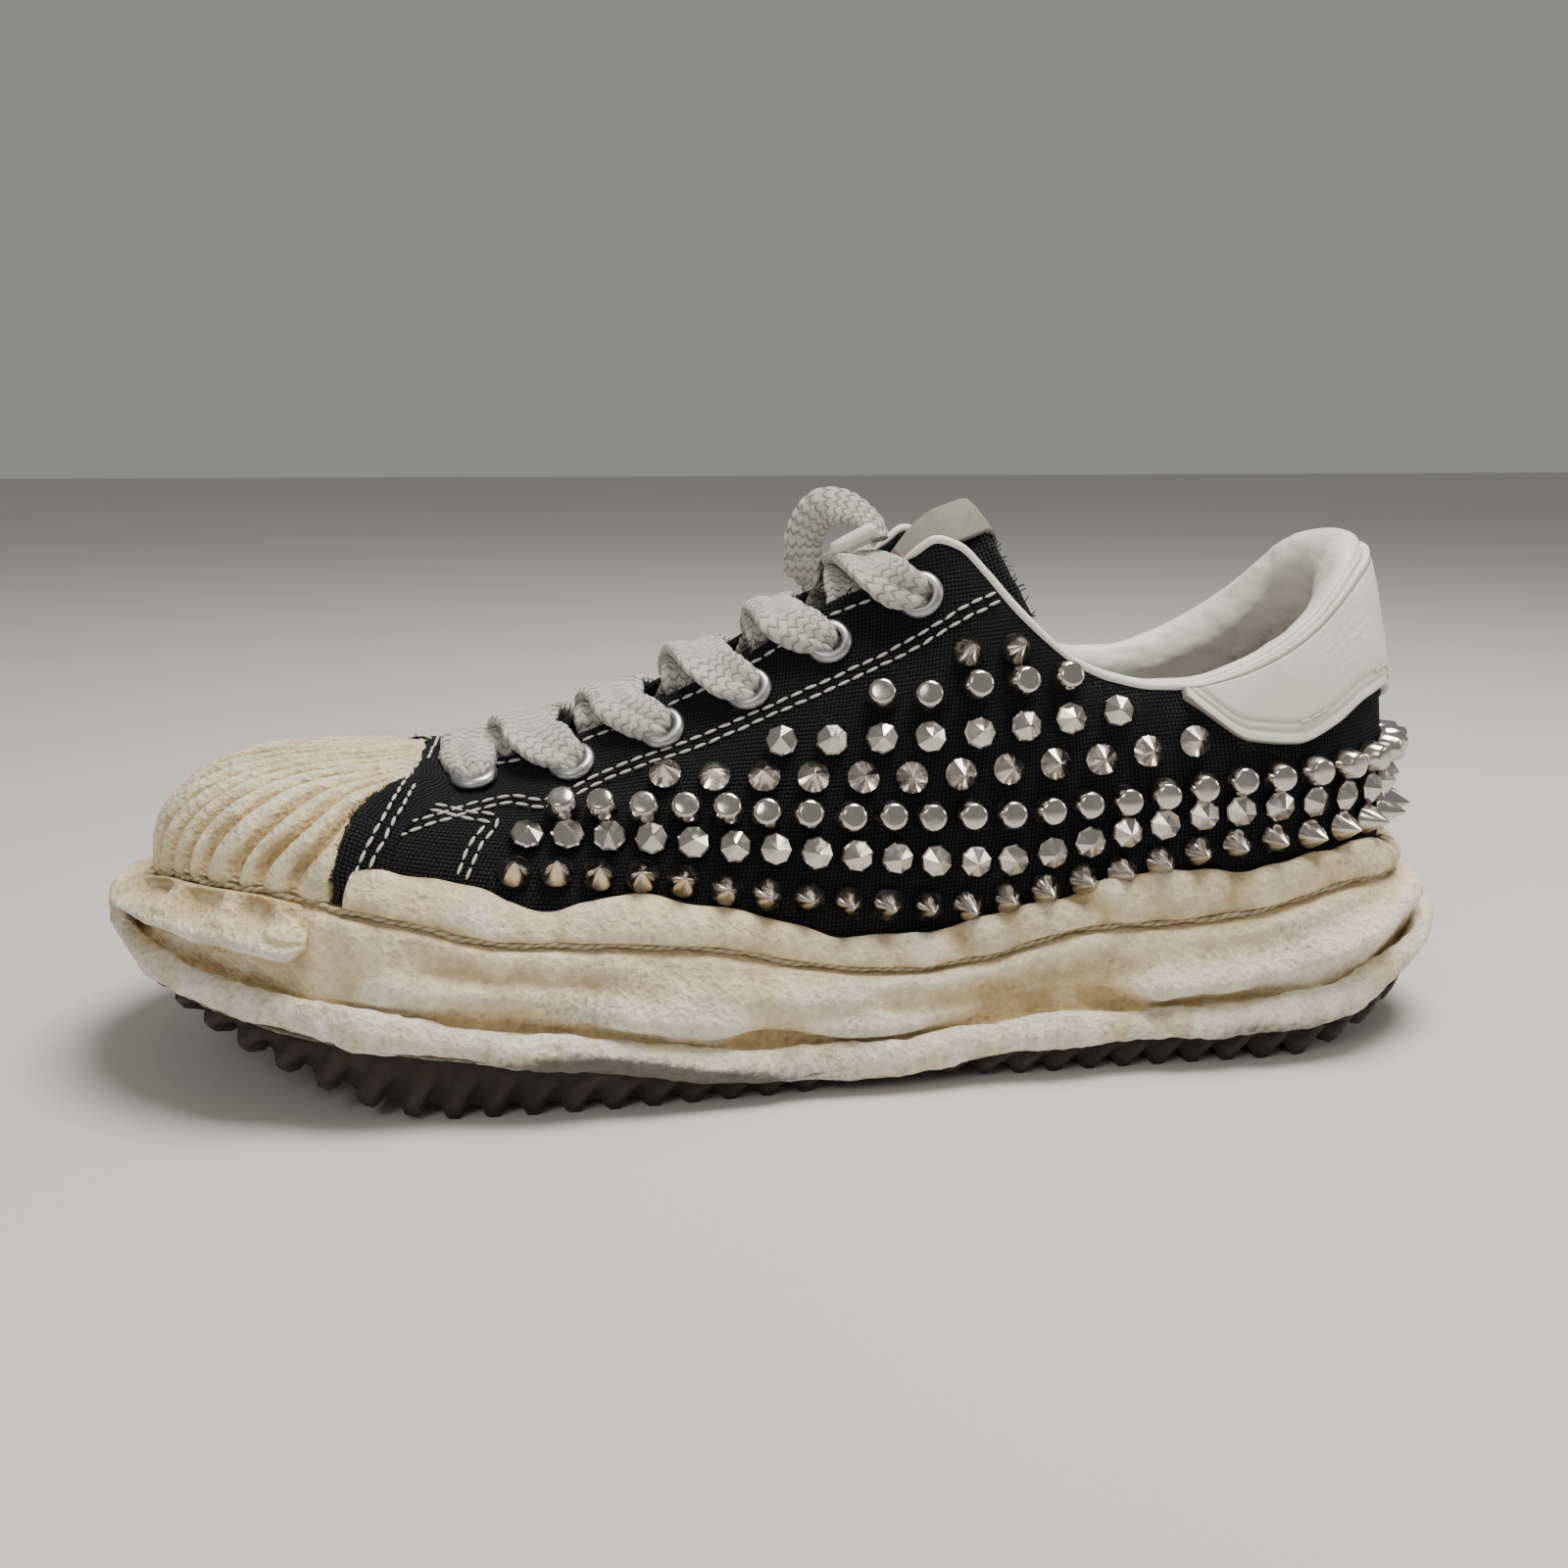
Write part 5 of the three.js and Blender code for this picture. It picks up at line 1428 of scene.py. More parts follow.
def lace_route(first_outer):
    """Half of the lace: from the middle of the first bar, into one eyelet and back and forth to the top."""
    rows = []

    def add(p, up, wide, thick, crease):
        rows.append([*p, *up, wide, thick, crease])

    up = np.array((0.0, 0.0, 1.0))
    side = first_outer
    for n in range(6):
        spot = SPOTS[side][n]
        centre, normal = spot[0], spot[1]
        edge, edge_normal = edge_by(spot, side, -2.5 if n == 0 else -8.5)
        if n == 0:
            other, _ = edge_by(SPOTS[not side][0], not side, -2.5)
            middle = (edge + other) / 2 + up * 4.6
            add(middle, up, 1.1, 1.0, 0.5)
            add(mix(middle, edge, 0.55) + up * 0.8, unit(up + 0.2 * edge_normal), 1.1, 1.0, 0.6)
        ahead = unit(centre - edge)
        add(edge + edge_normal * 2.2 + up * 1.2, unit(up + edge_normal), 1.0, 1.0, 0.9)
        add(mix(edge, centre, 0.5) + normal * 3.0, normal, 0.9, 1.1, 1.1)
        add(centre + normal * 2.2 - ahead * 1.6, unit(normal + 0.5 * ahead), 0.7, 1.3, 1.2)
        add(centre + normal * 0.2, unit(ahead + 0.2 * normal), 0.5, 1.35, 0.8)
        add(centre - normal * (WALL + 1.8), unit(ahead - 0.3 * normal), 0.5, 1.1, 0.4)
        if n == 5:
            add(centre - normal * (WALL + 4.2) + ahead * 0.5, unit(ahead - normal), 0.6, 0.8, 0.3)
            break
        next_edge, _ = edge_by(SPOTS[not side][n + 1], not side, -8.5)
        leave, leave_normal = edge_by(spot, side, 5.0)
        inward = unit((next_edge - leave) * (1, 1, 0.3))
        add(mix(centre, leave, 0.55) - normal * (WALL + 2.4), -normal, 0.75, 0.8, 0.2)
        add(leave - leave_normal * (WALL + 1.4) + inward * 1.0, -leave_normal, 0.85, 0.85, 0.2)
        over = side is False
        middle = (leave + next_edge) / 2 + up * (5.4 if over else 2.2)
        add(mix(leave, next_edge, 0.24) + up * (2.0 if over else 0.6), -up, 0.95, 0.95, 0.3)
        add(middle, -up, 1.05, 1.0, 0.45)
        add(mix(leave, next_edge, 0.78) + up * (4.0 if over else 2.6), -up, 1.08, 1.0, 0.8)
        side = not side
    return rows


def lace_band(bm, rows, sizes, count):
    """Adds a soft flat braid along rows of place, way up, width, thickness and crease."""
    for before, after in zip(rows, rows[1:]):
        if np.dot(before[3:6], after[3:6]) < 0:
            after[3:6] = [-c for c in after[3:6]]
    line = smooth_path(rows, count)
    path, up = line[:, :3], line[:, 3:6]
    tangent = unit(np.gradient(path, axis=0))
    last = None
    turned = np.zeros_like(up)
    for i in range(len(path)):
        flat = up[i] - tangent[i] * np.dot(up[i], tangent[i])
        flat = flat / max(np.linalg.norm(flat), 1e-6)
        if last is not None:
            if np.dot(flat, last) < 0:
                flat = -flat
            flat = flat * 0.35 + last * 0.65
            flat -= tangent[i] * np.dot(flat, tangent[i])
            flat /= np.linalg.norm(flat)
        last = flat
        turned[i] = flat
    side = np.cross(tangent, turned)
    wide = sizes.lace_width * line[:, 6] / 2
    thick = sizes.lace_thickness * line[:, 7] / 2
    crease = line[:, 8]
    travel = np.concatenate([[0], np.cumsum(length(np.diff(path, axis=0)))])
    sections = 36
    turn = np.linspace(0, FULL_TURN, sections + 1)[:, None]
    c, s = np.cos(turn), np.sin(turn)
    y = np.sign(c) * np.abs(c) ** 0.75
    z = np.sign(s) * np.abs(s) ** 0.7
    wander = 0.12 * np.sin(travel / 13) + 0.05
    groove = crease * (0.75 * bell(y, wander, 0.17) + 0.2 * bell(y, wander - 0.5, 0.12)) * (z > 0)
    groove_low = crease * 0.5 * bell(y, wander, 0.2) * (z < 0)
    fold = np.sign(z) * -(groove + groove_low) * thick * 0.85
    row = 2.4
    slant = travel / row * FULL_TURN * 0.5 + 2.6 * np.abs(np.sin(y * wide / row * 1.35 + np.where(z > 0, 0, 0.8)))
    yarn = np.abs(np.sin(slant)) ** 0.7
    swell_out = 1 + 0.05 * np.sin(travel / 5.3) + 0.04 * np.sin(travel / 2.9 + 2)
    droop = -0.16 * wide * y**2 * (0.6 + 0.4 * crease)
    lift = z * thick * swell_out + fold + droop + np.sign(z) * 0.3 * (yarn - 0.5) * np.minimum(np.abs(s) * 2, 1)
    out = y * (wide * swell_out) + np.sign(y) * 0.28 * (yarn - 0.5) * np.minimum(np.abs(c) * 2, 1)
    points = path[None] + out[..., None] * side[None] + lift[..., None] * turned[None]
    relief = -groove - groove_low + 0.0 * y
    start = len(bm.verts)
    bend_grid(bm, points, {"relief": relief})
    around_it = np.concatenate([[0], np.cumsum(np.hypot(np.diff(y[:, 0]), np.diff(z[:, 0]) * 0.25))]) * sizes.lace_width / 2
    layer = bm.loops.layers.uv["cloth"]
    bm.verts.ensure_lookup_table()
    fresh = bm.verts[start:]
    columns = points.shape[1]
    for k, vert in enumerate(fresh):
        i, j = divmod(k, columns)
        for loop in vert.link_loops:
            loop[layer].uv = (travel[j] * MM, around_it[i] * MM)
    bmesh.ops.remove_doubles(bm, verts=fresh, dist=1e-7)
    return path


# The lace below the standing loop: place, way up, width, thickness and crease.
LOOP_ROOT = (
    (13, 9.5, 106.2, 0, 0, 1, 0.8, 0.8, 0.3), (8, 8, 106.8, -0.1, -0.1, 1, 0.8, 0.8, 0.4),
    (4.6, 6, 108.2, -0.4, -0.4, 0.7, 0.74, 0.75, 0.5), (3.2, 4.5, 110.6, -0.5, -0.75, 0.3, 0.7, 0.7, 0.5),
    (3, 4, 113.4, -0.53, -0.84, 0.1, 0.67, 0.68, 0.4),
)


def build_laces(sizes, colours):
    material = lace_finish(colours)
    bm = bmesh.new()
    for first_outer in (True, False):
        lace_band(bm, lace_route(first_outer), sizes, 760)
    lace_band(bm, [list(row) for row in LOOP_ROOT], sizes, 70)
    close_ends(bm)
    finished("lace_weave", bm, material, ["laces"])


def build_lace_end(sizes, colours):
    rows = []
    ups = ((-0.5, -0.8, 0.1), (-0.3, -0.9, 0.2), (-0.1, -0.9, 0.4), (0.1, -0.9, 0.5), (0.4, -0.8, 0.4), (0.6, -0.7, 0.2))
    wides = (0.68, 0.72, 0.72, 0.68, 0.58, 0.4)
    for p, up, wide in zip(LACE_END, ups, wides):
        rows.append([*p, *unit(np.array(up, float)), wide, 0.7, 0.4])
    bm = bmesh.new()
    path = lace_band(bm, rows, sizes, 130)
    close_ends(bm)
    piece = finished("lace_loop", bm, lace_finish(colours), ["lace_end"])
    tip_bm = bmesh.new()
    start, end = (Vector(p) * MM for p in TIP)
    long = (end - start).length
    profile = ((0.0, 0.0), (0.9, 0.05), (1.45, 0.5), (1.7, 1.3), (1.66, 4.0), (1.72, 7.5), (1.6, 10.5), (0.9, 11.3), (0, 11.4))
    ring = [tip_bm.verts.new((r * MM, 0, h / 11.4 * long)) for r, h in profile]
    edges = [tip_bm.edges.new(pair) for pair in zip(ring, ring[1:])]
    bmesh.ops.spin(
        tip_bm, geom=ring + edges, cent=(0, 0, 0), axis=(0, 0, 1), angle=FULL_TURN, steps=24, use_merge=True
    )
    weld(tip_bm)
    turn = Vector((0, 0, 1)).rotation_difference(end - start).to_matrix().to_4x4()
    bmesh.ops.transform(tip_bm, matrix=Matrix.Translation(start) @ turn, verts=tip_bm.verts)
    tip = finished("lace_sleeve", tip_bm, plastic_finish(), ["lace_tip"])
    metres = path * MM
    float(length(np.diff(metres, axis=0)).sum())


# ---- studs ----
# Each row: kind, first x, last x (or None for round the heel), how many on one side or in all, heights.
STUD_ROWS = (
    ("spike", 36.2, 47.0, 2, curve((36, 95), (47, 95.2))),
    ("drum", 16.6, 58.4, 5, curve((16, 85), (27, 85.2), (37, 87.5), (58, 88.6))),
    ("gem", -5.8, 70.2, 8, curve((-6, 75.3), (26, 76.6), (50, 78.6), (70, 81.2))),
    ("fluted", -32.2, 88.0, 12, curve((-32, 68), (21, 68), (44, 69.2), (67, 70.8), (88, 74.3))),
    ("drum", -56.8, None, 50, curve((-57, 61.2), (-24, 61.3), (10, 59.5), (43, 59.2), (76, 62.1), (96, 65), (140, 69))),
    ("gem", -64.8, None, 52, curve((-65, 56.8), (-34, 55.6), (0, 52.1), (34, 49.2), (45, 48.8), (66, 52.7), (94, 58), (140, 61))),
    ("spike", -66.5, None, 52, curve((-66, 50.5), (-36, 48.4), (-12, 43.9), (21, 39.8), (31, 39.1), (43, 40.2), (72, 45.5), (103, 51.2), (140, 53.6))),
)


def stud_template(kind, width):
    """A stud that stands on Z, as a small bmesh."""
    bm = bmesh.new()
    r = width / 2 * MM
    shapes = {
        "spike": (24, ((1.0, 0.0, 0.5), (1.0, 0.5, 0.9), (0.97, 0.9, 6.4)), 0.06),
        "fluted": (14, ((1.0, 0.0, 0.5), (0.98, 0.5, 0.8), (0.96, 0.8, 4.6)), 0.05),
        "gem": (8, ((1.0, 0.0, 1.0), (1.0, 1.0, 1.5), (0.9, 1.5, 3.5)), 0.06),
        "drum": (18, ((1.0, 0.0, 1.2), (0.98, 1.2, 4.6), (0.78, 4.6, 5.0)), 0.6),
    }
    sides, levels, tip = shapes[kind]
    for i, (wide, low, high) in enumerate(levels):
        after = levels[i + 1][0] if i + 1 < len(levels) else tip
        bmesh.ops.create_cone(
            bm, cap_ends=i == len(levels) - 1 or i == 0, segments=sides, radius1=wide * r, radius2=after * r,
            depth=(high - low) * MM, matrix=Matrix.Translation((0, 0, (low + high) / 2 * MM)),
        )
    bmesh.ops.remove_doubles(bm, verts=bm.verts, dist=2e-5)
    inside = [f for f in bm.faces if len(f.verts) > 4 and 1e-4 < f.calc_center_median().z < (levels[-1][2] - 0.1) * MM]
    bmesh.ops.delete(bm, geom=inside, context="FACES_ONLY")
    if kind == "drum":
        sharp = [e for e in bm.edges if all(v.co.z > 4.4 * MM for v in e.verts)]
        bmesh.ops.bevel(
            bm, geom=sharp, offset=0.14 * MM, segments=1, profile=0.5, affect="EDGES", material=-1, clamp_overlap=True
        )
    bmesh.ops.recalc_face_normals(bm, faces=bm.faces)
    return bm


def build_studs(sizes, colours):
    material = metal_finish("stud_alloy", (0.62, 0.585, 0.545), 0.13, 1.0, 0.00002)
    rng = np.random.default_rng(11)
    for level, (kind, first, last, count, height) in enumerate(STUD_ROWS):
        if last is None:
            probe = np.linspace(float(column_at(first, 0.3)), HALF_TURN, 300)
            runs = [np.concatenate([probe, FULL_TURN - probe[::-1][1:]])]
        else:
            probe = np.linspace(float(column_at(first, 0.5)) - 0.1, float(column_at(last, 0.5)) + 0.1, 300)
            runs = [probe, -probe]
        places = []
        for angles in runs:
            rises = np.full(angles.shape, 0.4)
            for _ in range(8):
                rises = mix(rises, rise_at(angles, height(skin(angles, rises)[..., 0])), 0.8)
            line = skin(angles, rises)
            if last is not None:
                keep = (line[:, 0] >= first - 0.2) & (line[:, 0] <= last + 0.2)
                angles, rises, line = angles[keep], rises[keep], line[keep]
            travel = np.concatenate([[0], np.cumsum(length(np.diff(line, axis=0)))])
            spots = np.linspace(0, travel[-1], count)
            angle, rise = np.interp(spots, travel, angles), np.interp(spots, travel, rises)
            normal = unit(skin_normal(angle, rise) + rng.normal(0, 0.035, (count, 3)))
            spin = rng.uniform(0, FULL_TURN, count)[:, None]
            first_way = unit(np.cross(normal, (0.1, 0.2, 1.0)))
            side = first_way * np.cos(spin) + np.cross(normal, first_way) * np.sin(spin)
            centre = skin_off(angle, rise, np.full(count, 0.95)) + rng.normal(0, 0.12, (count, 3))
            places.append(np.stack([side, np.cross(normal, side), normal, centre], -1))
        template = stud_template(kind, sizes.stud_width)
        piece = joined(f"studs_row_{level + 1}", template, placed(template, places), material, kind in ("drum", "spike"))
        if kind in ("drum", "spike"):
            shade_by_angle(piece)


def shade_by_angle(piece, angle=0.6):
    bm = bmesh.new()
    bm.from_mesh(piece.data)
    for edge in bm.edges:
        edge.smooth = len(edge.link_faces) != 2 or edge.calc_face_angle(0.0) < angle
    bm.to_mesh(piece.data)
    bm.free()


# ---- stitching and frays ----
def joined(name, template, spots, material, smooth=True):
    """One piece made of many copies of a small bmesh, whose corners go to spots, in millimetres."""
    faces = [[v.index for v in f.verts] for f in template.faces]
    template.free()
    mesh = bpy.data.meshes.new(name)
    corners = spots.shape[1]
    everywhere = [[k + i * corners for k in face] for i in range(len(spots)) for face in faces]
    mesh.from_pydata((spots.reshape(-1, 3) * MM).tolist(), [], everywhere)
    mesh.polygons.foreach_set("use_smooth", [smooth] * len(mesh.polygons))
    mesh.materials.append(material)
    piece = bpy.data.objects.new(name, mesh)
    bpy.context.scene.collection.objects.link(piece)
    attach(piece, "root")
    return piece


def placed(template, places):
    """Corners of copies of a small bmesh, each stood at a 3 x 4 place in millimetres."""
    corners = np.array([v.co for v in template.verts]) / MM
    places = np.concatenate([np.asarray(p, float).reshape(-1, 3, 4) for p in places])
    return np.einsum("nij,vj->nvi", places[:, :, :3], corners) + places[:, None, :, 3]


def stitch_template(sizes):
    bm = bmesh.new()
    bmesh.ops.create_uvsphere(bm, u_segments=7, v_segments=6, radius=1.0)
    half = sizes.stitch_length / 2 * MM
    thin = sizes.thread / 2 * MM
    turn = Matrix.Rotation(HALF_TURN / 2, 4, "Y")
    bmesh.ops.transform(bm, matrix=Matrix.Diagonal((half, thin, thin, 1)) @ turn, verts=bm.verts)
    return bm


def sewn(points, normals, pitch, rng):
    """Places for stitches end to end along a line of points, a little uneven, as sewn by hand."""
    travel = np.concatenate([[0], np.cumsum(length(np.diff(points, axis=0)))])
    places = np.arange(pitch / 2, travel[-1], pitch)

    def along_line(values, at):
        return np.stack([np.interp(at, travel, values[:, k]) for k in range(3)], -1)

    normal = unit(along_line(normals, places))
    along = unit(along_line(points, places + 0.8) - along_line(points, places - 0.8))
    along = along + rng.normal(0, 0.06, along.shape)
    along = unit(along - normal * (along * normal).sum(-1, keepdims=True))
    side = np.cross(normal, along)
    centre = along_line(points, places) + side * rng.normal(0, 0.08, places.shape)[:, None]
    return [np.stack([along, side, normal, centre], -1)]


def twin_rows(angle, rise, gap, pitch, rng, lift):
    line = skin(angle, rise)
    normal = skin_normal(angle, rise)
    side = unit(np.cross(normal, unit(np.gradient(line, axis=0))))
    return [p for way in (-0.5, 0.5) for p in sewn(line + side * way * gap + normal * lift, normal, pitch, rng)]


def build_stitching(sizes, colours):
    rng = np.random.default_rng(5)
    pitch = sizes.stitch_length + 0.55
    places = []
    for outer in (True, False):
        places += twin_rows(*side_path(EYESTAY_LINE, outer, 260), 2.3, pitch, rng, 0.35)
        places += twin_rows(*side_path(VAMP_LINE, outer, 120), 2.2, pitch, rng, 0.35)
        angle, rise = throat_path(outer, 3.2)
        places += sewn(skin_off(angle, rise, np.full(angle.shape, 0.35)), skin_normal(angle, rise), pitch, rng)
        angle, rise = side_path(CAP_SIDE_LINE, outer, 90)
        line, normal = skin(angle, rise), skin_normal(angle, rise)
        side = unit(np.cross(normal, unit(np.gradient(line, axis=0))))
        side = np.where(side[:, :1] > 0, side, -side)
        for move, lift in ((0.0, 3.7), (2.2, 2.9)):
            places += sewn(line + side * move + normal * lift, normal, pitch, rng)
    back = np.linspace(0.62, -0.62, 120)
    for x, lift in ((CAP_BACK_X + 0.8, 3.8), (CAP_BACK_X + 3.0, 2.8)):
        rise = rise_at_x(back, x)
        good = rise < 0.995
        line = skin_off(back, rise, np.full(back.shape, lift))
        places += sewn(line[good], skin_normal(back, rise)[good], pitch, rng)
    stitch = stitch_template(sizes)
    joined("seam_stitches", stitch, placed(stitch, places), thread_finish(colours))
    places = []
    start = float(column_at(TAB_START_X, 1.0))
    angle = np.linspace(start + 0.02, FULL_TURN - start - 0.02, 500)
    edge = opening(angle)
    low = np.minimum(TAB_LOW_Z(edge[..., 0]), edge[..., 2] - 2.5)
    base_rise = rise_at(angle, low)
    foot = skin(angle, base_rise)
    for inset in (3.1, 5.1):
        rise = searched(lambda r: length(skin(angle, r) - foot) < inset, angle.shape, 0, 1)
        rise = np.maximum(rise, base_rise)
        good = (rise > base_rise) & (rise < 0.985)
        line = skin_off(angle, rise, np.full(angle.shape, 2.0))
        places += sewn(line[good], skin_normal(angle, rise)[good], pitch * 0.85, rng)
    for across in (-0.93, -0.83, 0.93, 0.83):
        x = np.linspace(-20, 37, 100)
        line = tongue_point(x, np.full(x.shape, across), np.full(x.shape, 0.3))
        above = tongue_point(x, np.full(x.shape, across), np.full(x.shape, 1.3))
        places += sewn(line, unit(above - line), pitch, rng)
    stitch = stitch_template(sizes)
    joined("patch_stitches", stitch, placed(stitch, places), thread_finish(colours))
    front = np.linspace(-0.76, 0.76, 420)
    line = beside_skin(front, SEAM_Z(outline(front)[..., 0]) + 1.6, np.full(front.shape, 3.2))
    places = sewn(line, outward(front), pitch * 0.9, rng)
    stitch = stitch_template(sizes)
    joined("toe_stitches", stitch, placed(stitch, places), rope_finish())


def strands(starts, ways, reach, rng):
    """Paths for loose threads: short curls, each from a start along its own way."""
    count = len(starts)
    long = reach * rng.uniform(0.5, 1.3, (count, 1)) / 3
    bend = np.cumsum(rng.normal(0, 0.3, (3, count, 3)), 0)
    points = [starts]
    for k in range(3):
        points.append(points[-1] + unit(ways + bend[k] + (0, 0, -0.12 * k)) * long)
    return np.stack(points, 1)


def build_frays(sizes, colours):
    rng = np.random.default_rng(23)
    paths = []
    x = rng.uniform(12, 41, 150)
    across = np.where(rng.random(150) < 0.75, -1.0, 1.0)
    edge = tongue_point(x, across, np.full(150, -1.2))
    inward = tongue_point(x, across * 0.9, np.full(150, -1.2))
    paths.append(strands(edge, unit(edge - inward) + (0.35, 0, 0.1), 1.7, rng))
    across = rng.uniform(-1, 1, 90)
    edge = tongue_point(np.full(90, 41.0), across, np.full(90, -1.2))
    inward = tongue_point(np.full(90, 39.0), across, np.full(90, -1.2))
    paths.append(strands(edge, unit(edge - inward), 1.5, rng))
    for outer in (True, False):
        x = np.concatenate([rng.uniform(-78, 12, 90), rng.normal(-71, 3, 60), rng.normal(-30, 3, 26), rng.normal(-3, 3, 40)])
        angle = column_at(np.clip(x, -81, 14), 1.0, outer)
        edge = skin_off(angle, np.full(angle.shape, 1.0), np.full(angle.shape, -1.0))
        paths.append(strands(edge, unit(edge - skin(angle, 0.96)) + (0, 0, 0.35), 2.6, rng))
    v = rng.uniform(0.05, 1, 240)
    side = column_at(mix(CAP_FOOT_X - 1, CAP_BACK_X, v**2.2), mix(0.1, CAP_CORNER_RISE, v))
    low = float(rise_at(side[0], SEAM_Z(-108.0)))
    rise = mix(low, float(rise_at_x(side[np.argmax(v)], CAP_BACK_X)), v)
    side = np.where(rng.random(240) < 0.7, side, -side)
    edge = skin_off(side, rise, np.full(240, 3.2)) + (-1.2, 0, 0)
    paths.append(strands(edge, np.tile((-1.0, 0, 0.25), (240, 1)), 1.3, rng))
    paths = np.concatenate(paths)
    template = bmesh.new()
    tube(template, stack(np.linspace(0, 1, 8), 0, 0), 0.16, 3)
    close_ends(template)
    template.verts.index_update()
    corners = np.array([v.co for v in template.verts]) / MM
    t = corners[None, :, :1]
    a, b, c, d = (paths[:, None, k] for k in range(4))
    line = a * (1 - t) ** 3 + 3 * b * (1 - t) ** 2 * t + 3 * c * (1 - t) * t * t + d * t**3
    ahead = unit(paths[:, -1] - paths[:, 0])
    one = unit(np.cross(ahead, (0.2, 0.3, 1.0)))[:, None]
    other = np.cross(ahead, one[:, 0])[:, None]
    spots = line + one * corners[None, :, 1:2] + other * corners[None, :, 2:]
    joined("loose_threads", template, spots, fray_finish())


# ---- stage ----
def build_stage(sizes, colours):
    bm = bmesh.new()
    bmesh.ops.create_grid(bm, x_segments=2, y_segments=2, size=4.0)
    mesh = bpy.data.meshes.new("floor")
    bm.to_mesh(mesh)
    bm.free()
    floor = bpy.data.objects.new("floor", mesh)
    bpy.context.scene.collection.objects.link(floor)

    def build(n, shader):
        where = object_place(n)
        tone = n.blend(n.grainy(where, 3.0, 3.0), (0.62, 0.61, 0.59, 1.0), (0.68, 0.67, 0.65, 1.0))
        n.feed(shader.inputs["Base Color"], tone)

    mesh.materials.append(finish("pale_floor", 0.85, build, specular=0.25))
    world = bpy.data.worlds.new("studio")
    bpy.context.scene.world = world
    world.use_nodes = True
    sky = world.node_tree.nodes["Background"]
    sky.inputs["Color"].default_value = (0.9, 0.89, 0.87, 1.0)
    sky.inputs["Strength"].default_value = 0.3
    for name, place, aim, size, power in (
        ("key", (0.22, -0.02, 1.0), (0.0, 0.0, 0.05), 0.55, 14.0),
        ("window", (-0.6, -1.0, 0.9), (0.0, 0.0, 0.06), 0.5, 3.4),
        ("side", (1.2, -0.2, 0.45), (0.0, 0.0, 0.06), 0.4, 2.0),
    ):
        light = bpy.data.lights.new(name, "AREA")
        light.shape = "DISK"
        light.size = size
        light.energy = power
        light.color = (1.0, 0.965, 0.915)
        lamp = bpy.data.objects.new(name, light)
        lamp.location = place
        lamp.rotation_euler = (Vector(aim) - Vector(place)).to_track_quat("-Z", "Y").to_euler()
        bpy.context.scene.collection.objects.link(lamp)
    camera = bpy.data.cameras.new("camera")
    camera.sensor_width = 36.0
    camera.lens = 36.9
    camera.dof.use_dof = False
    eye = bpy.data.objects.new("camera", camera)
    turn, distance, height, tilt = math.radians(-7.0), 0.385, 0.146, math.radians(12.75)
    eye.location = (-0.002 + math.sin(turn) * distance, -math.cos(turn) * distance, height)
    eye.rotation_euler = (HALF_TURN / 2 - tilt, 0.0, turn)
    bpy.context.scene.collection.objects.link(eye)
    bpy.context.scene.camera = eye


# ---- the add-on ----
class SneakerSizes(bpy.types.PropertyGroup):
    """Sizes that a user may change, in millimetres."""

    stud_width: FloatProperty(name="Stud width", description="Width of each stud", default=7.5, min=3.0)
    piping: FloatProperty(name="Piping", description="Thickness of the topline piping", default=2.1, min=0.5)
    eyelet_width: FloatProperty(name="Eyelet width", description="Outside width of an eyelet ring", default=11.0, min=9.0)
    lace_width: FloatProperty(name="Lace width", description="Width of the flat braid", default=12.8, min=4.0)
    lace_thickness: FloatProperty(name="Lace thickness", description="Thickness of the braid", default=3.5, min=1.0)
    stitch_length: FloatProperty(name="Stitch length", description="Length of one stitch", default=3.0, min=1.0)
    thread: FloatProperty(name="Thread", description="Thickness of the sewing thread", default=0.75, min=0.2)
    fin_pitch: FloatProperty(name="Fin pitch", description="Distance between the tread's fins", default=8.5, min=4.0)


def colour_property(label, about, value):
    return FloatVectorProperty(name=label, description=about, default=value, subtype="COLOR", size=3, min=0.0, max=1.0)


class SneakerColours(bpy.types.PropertyGroup):
    """Colours that a user may change."""

    canvas: colour_property("Canvas", "Colour of the black canvas", (0.011, 0.011, 0.0125))
    sole: colour_property("Sole", "Colour of the sole's leather", (0.86, 0.725, 0.475))
    cap: colour_property("Toe cap", "Colour of the toe cap's leather", (0.88, 0.755, 0.49))
    stain: colour_property("Stain", "Colour of old yellow stains", (0.70, 0.53, 0.28))
    white_hide: colour_property("White leather", "Colour of the heel patch and lining", (0.85, 0.825, 0.77))
    laces: colour_property("Laces", "Colour of the braid", (0.88, 0.855, 0.795))
    thread: colour_property("Thread", "Colour of the sewing thread", (0.68, 0.66, 0.6))
    rubber: colour_property("Rubber", "Colour of the tread", (0.03, 0.021, 0.018))
    ribbon: colour_property("Ribbon", "Colour of the tongue's ribbon", (0.27, 0.265, 0.225))


def step(identifier, label, about, *builders):
    """An operator class that makes one piece or group of like pieces."""

    def execute(self, context):
        for build in builders:
            build(context.scene.sneaker_sizes, context.scene.sneaker_colours)
        return {"FINISHED"}

    body = {"bl_idname": identifier, "bl_label": label, "__doc__": about, "execute": execute}
    return type("SNEAKER_OT_" + identifier.split(".")[1], (bpy.types.Operator,), body)


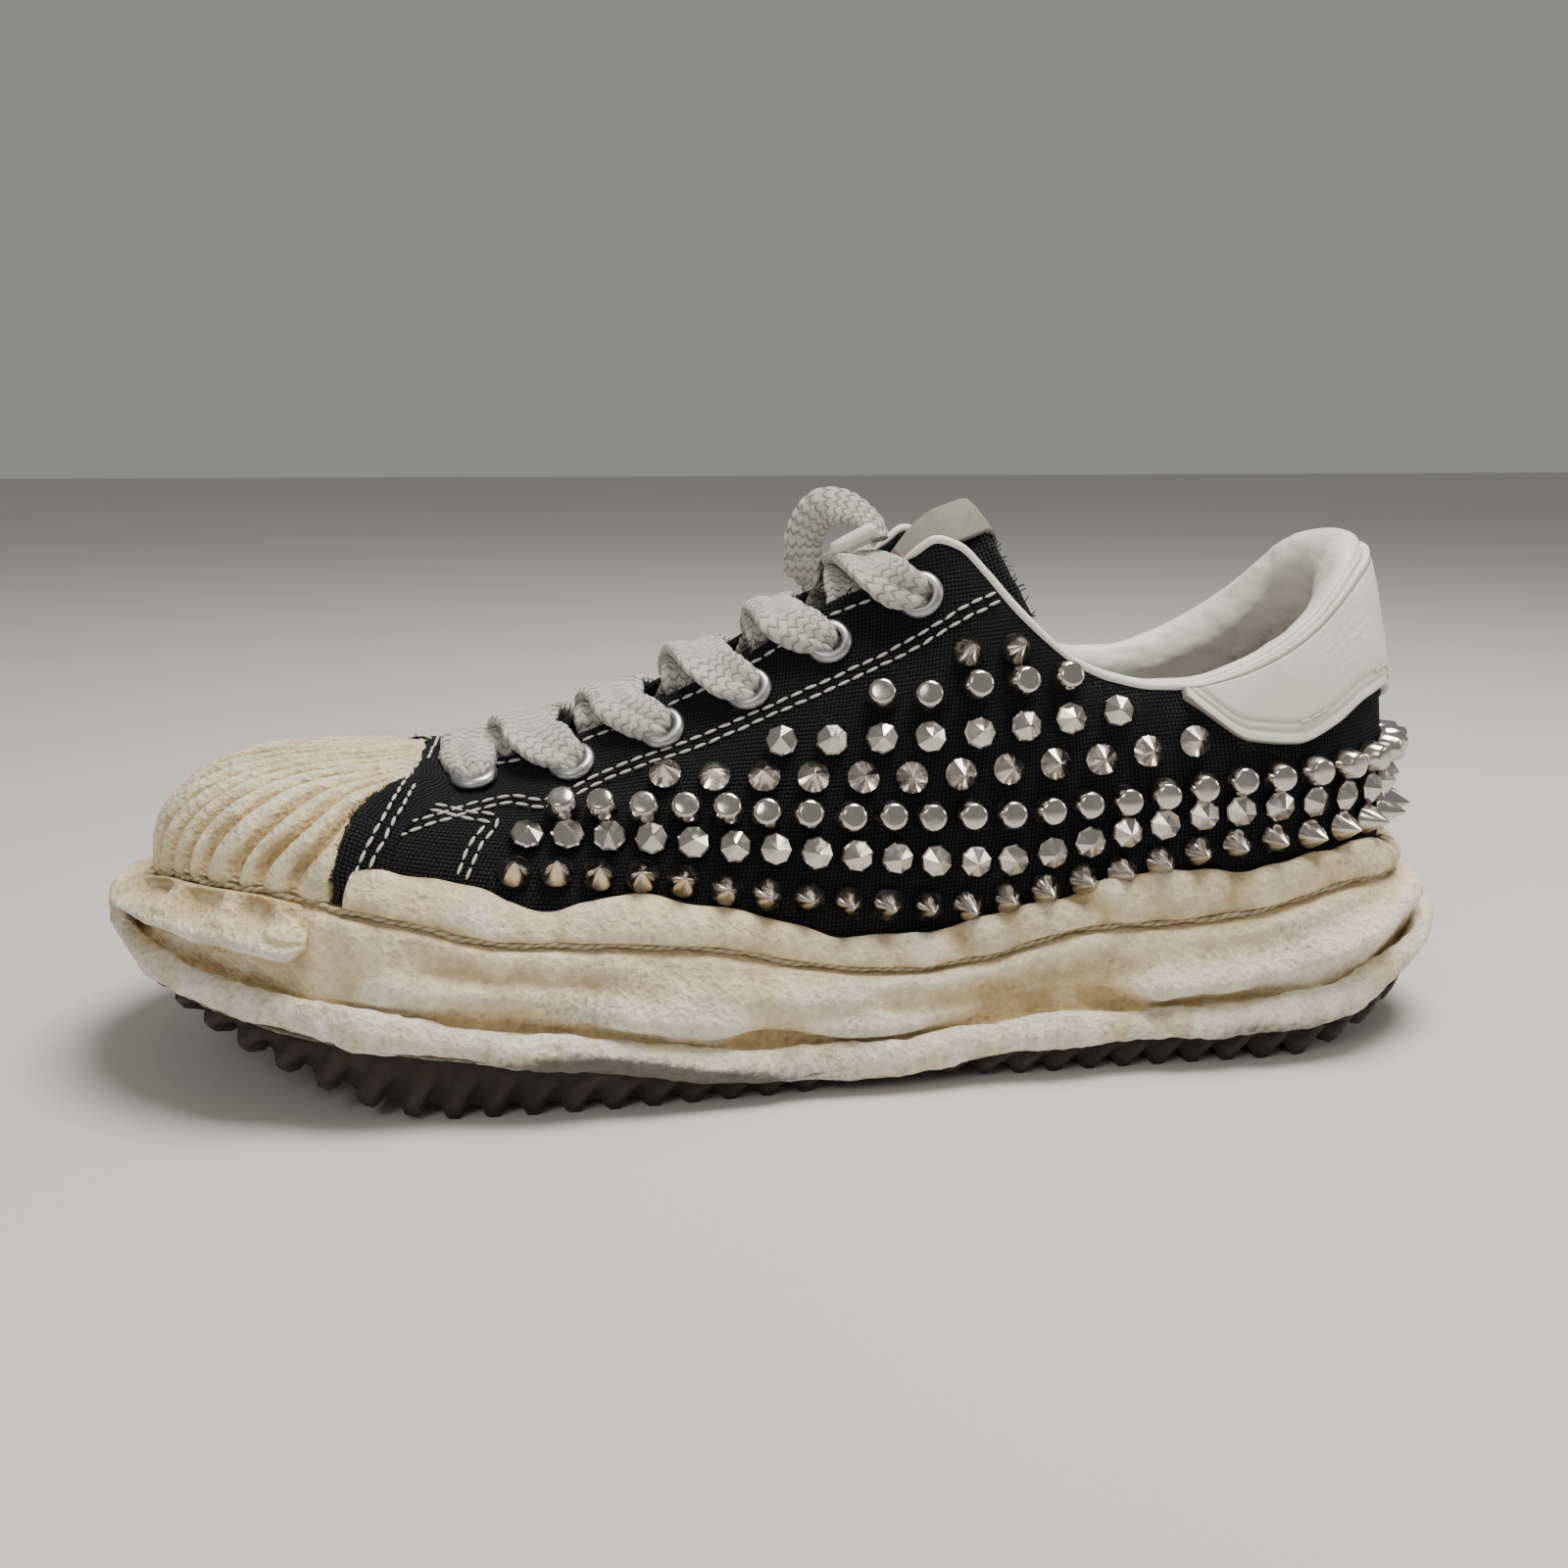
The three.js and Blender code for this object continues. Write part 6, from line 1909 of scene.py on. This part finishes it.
STEPS = (
    step("sneaker.stage", "Stage", "Makes the floor, the lights and the camera", build_stage),
    step("sneaker.tread", "Tread", "Makes the rubber tread with its fins", build_outsole),
    step("sneaker.midsole", "Midsole", "Makes the thick soft midsole with its lip", build_midsole),
    step("sneaker.foxing", "Foxing", "Makes the band, the toe bumper and the cord in the seam", build_foxing, build_bumper, build_seam_cord),
    step("sneaker.toe_cap", "Toe cap", "Makes the pleated toe cap", build_toe_cap),
    step("sneaker.upper", "Upper", "Makes the canvas upper and its front edge", build_upper, build_vamp_edge),
    step("sneaker.collar", "Collar", "Makes the piping, heel patch, padded collar and insole", build_piping, build_heel_tab, build_collar, build_insole),
    step("sneaker.tongue", "Tongue", "Makes the tongue and its ribbon", build_tongue, build_label),
    step("sneaker.eyelets", "Eyelets", "Makes the two rows of eyelet rings", build_eyelets),
    step("sneaker.laces", "Laces", "Makes the lace, its loose loop and its tip", build_laces, build_lace_end),
    step("sneaker.studs", "Studs", "Makes the rows of metal studs", build_studs),
    step("sneaker.stitching", "Stitching", "Makes the stitches and the loose threads", build_stitching, build_frays),
)


class SNEAKER_PT_panel(bpy.types.Panel):
    """Lists the sneaker's sizes, colours and steps."""

    bl_label = "Sneaker"
    bl_space_type = "VIEW_3D"
    bl_region_type = "UI"
    bl_category = "Sneaker"

    def draw(self, context):
        for group in (context.scene.sneaker_sizes, context.scene.sneaker_colours):
            box = self.layout.box()
            for name in group.__annotations__:
                box.prop(group, name)
        for each in STEPS:
            self.layout.operator(each.bl_idname)


CLASSES = (SneakerSizes, SneakerColours, *STEPS, SNEAKER_PT_panel)


def register():
    for each in CLASSES:
        bpy.utils.register_class(each)
    bpy.types.Scene.sneaker_sizes = PointerProperty(type=SneakerSizes)
    bpy.types.Scene.sneaker_colours = PointerProperty(type=SneakerColours)


def unregister():
    del bpy.types.Scene.sneaker_colours
    del bpy.types.Scene.sneaker_sizes
    for each in reversed(CLASSES):
        bpy.utils.unregister_class(each)


def main():
    register()
    for each in STEPS:
        group, name = each.bl_idname.split(".")
        getattr(getattr(bpy.ops, group), name)()


if __name__ == "__main__":
    main()
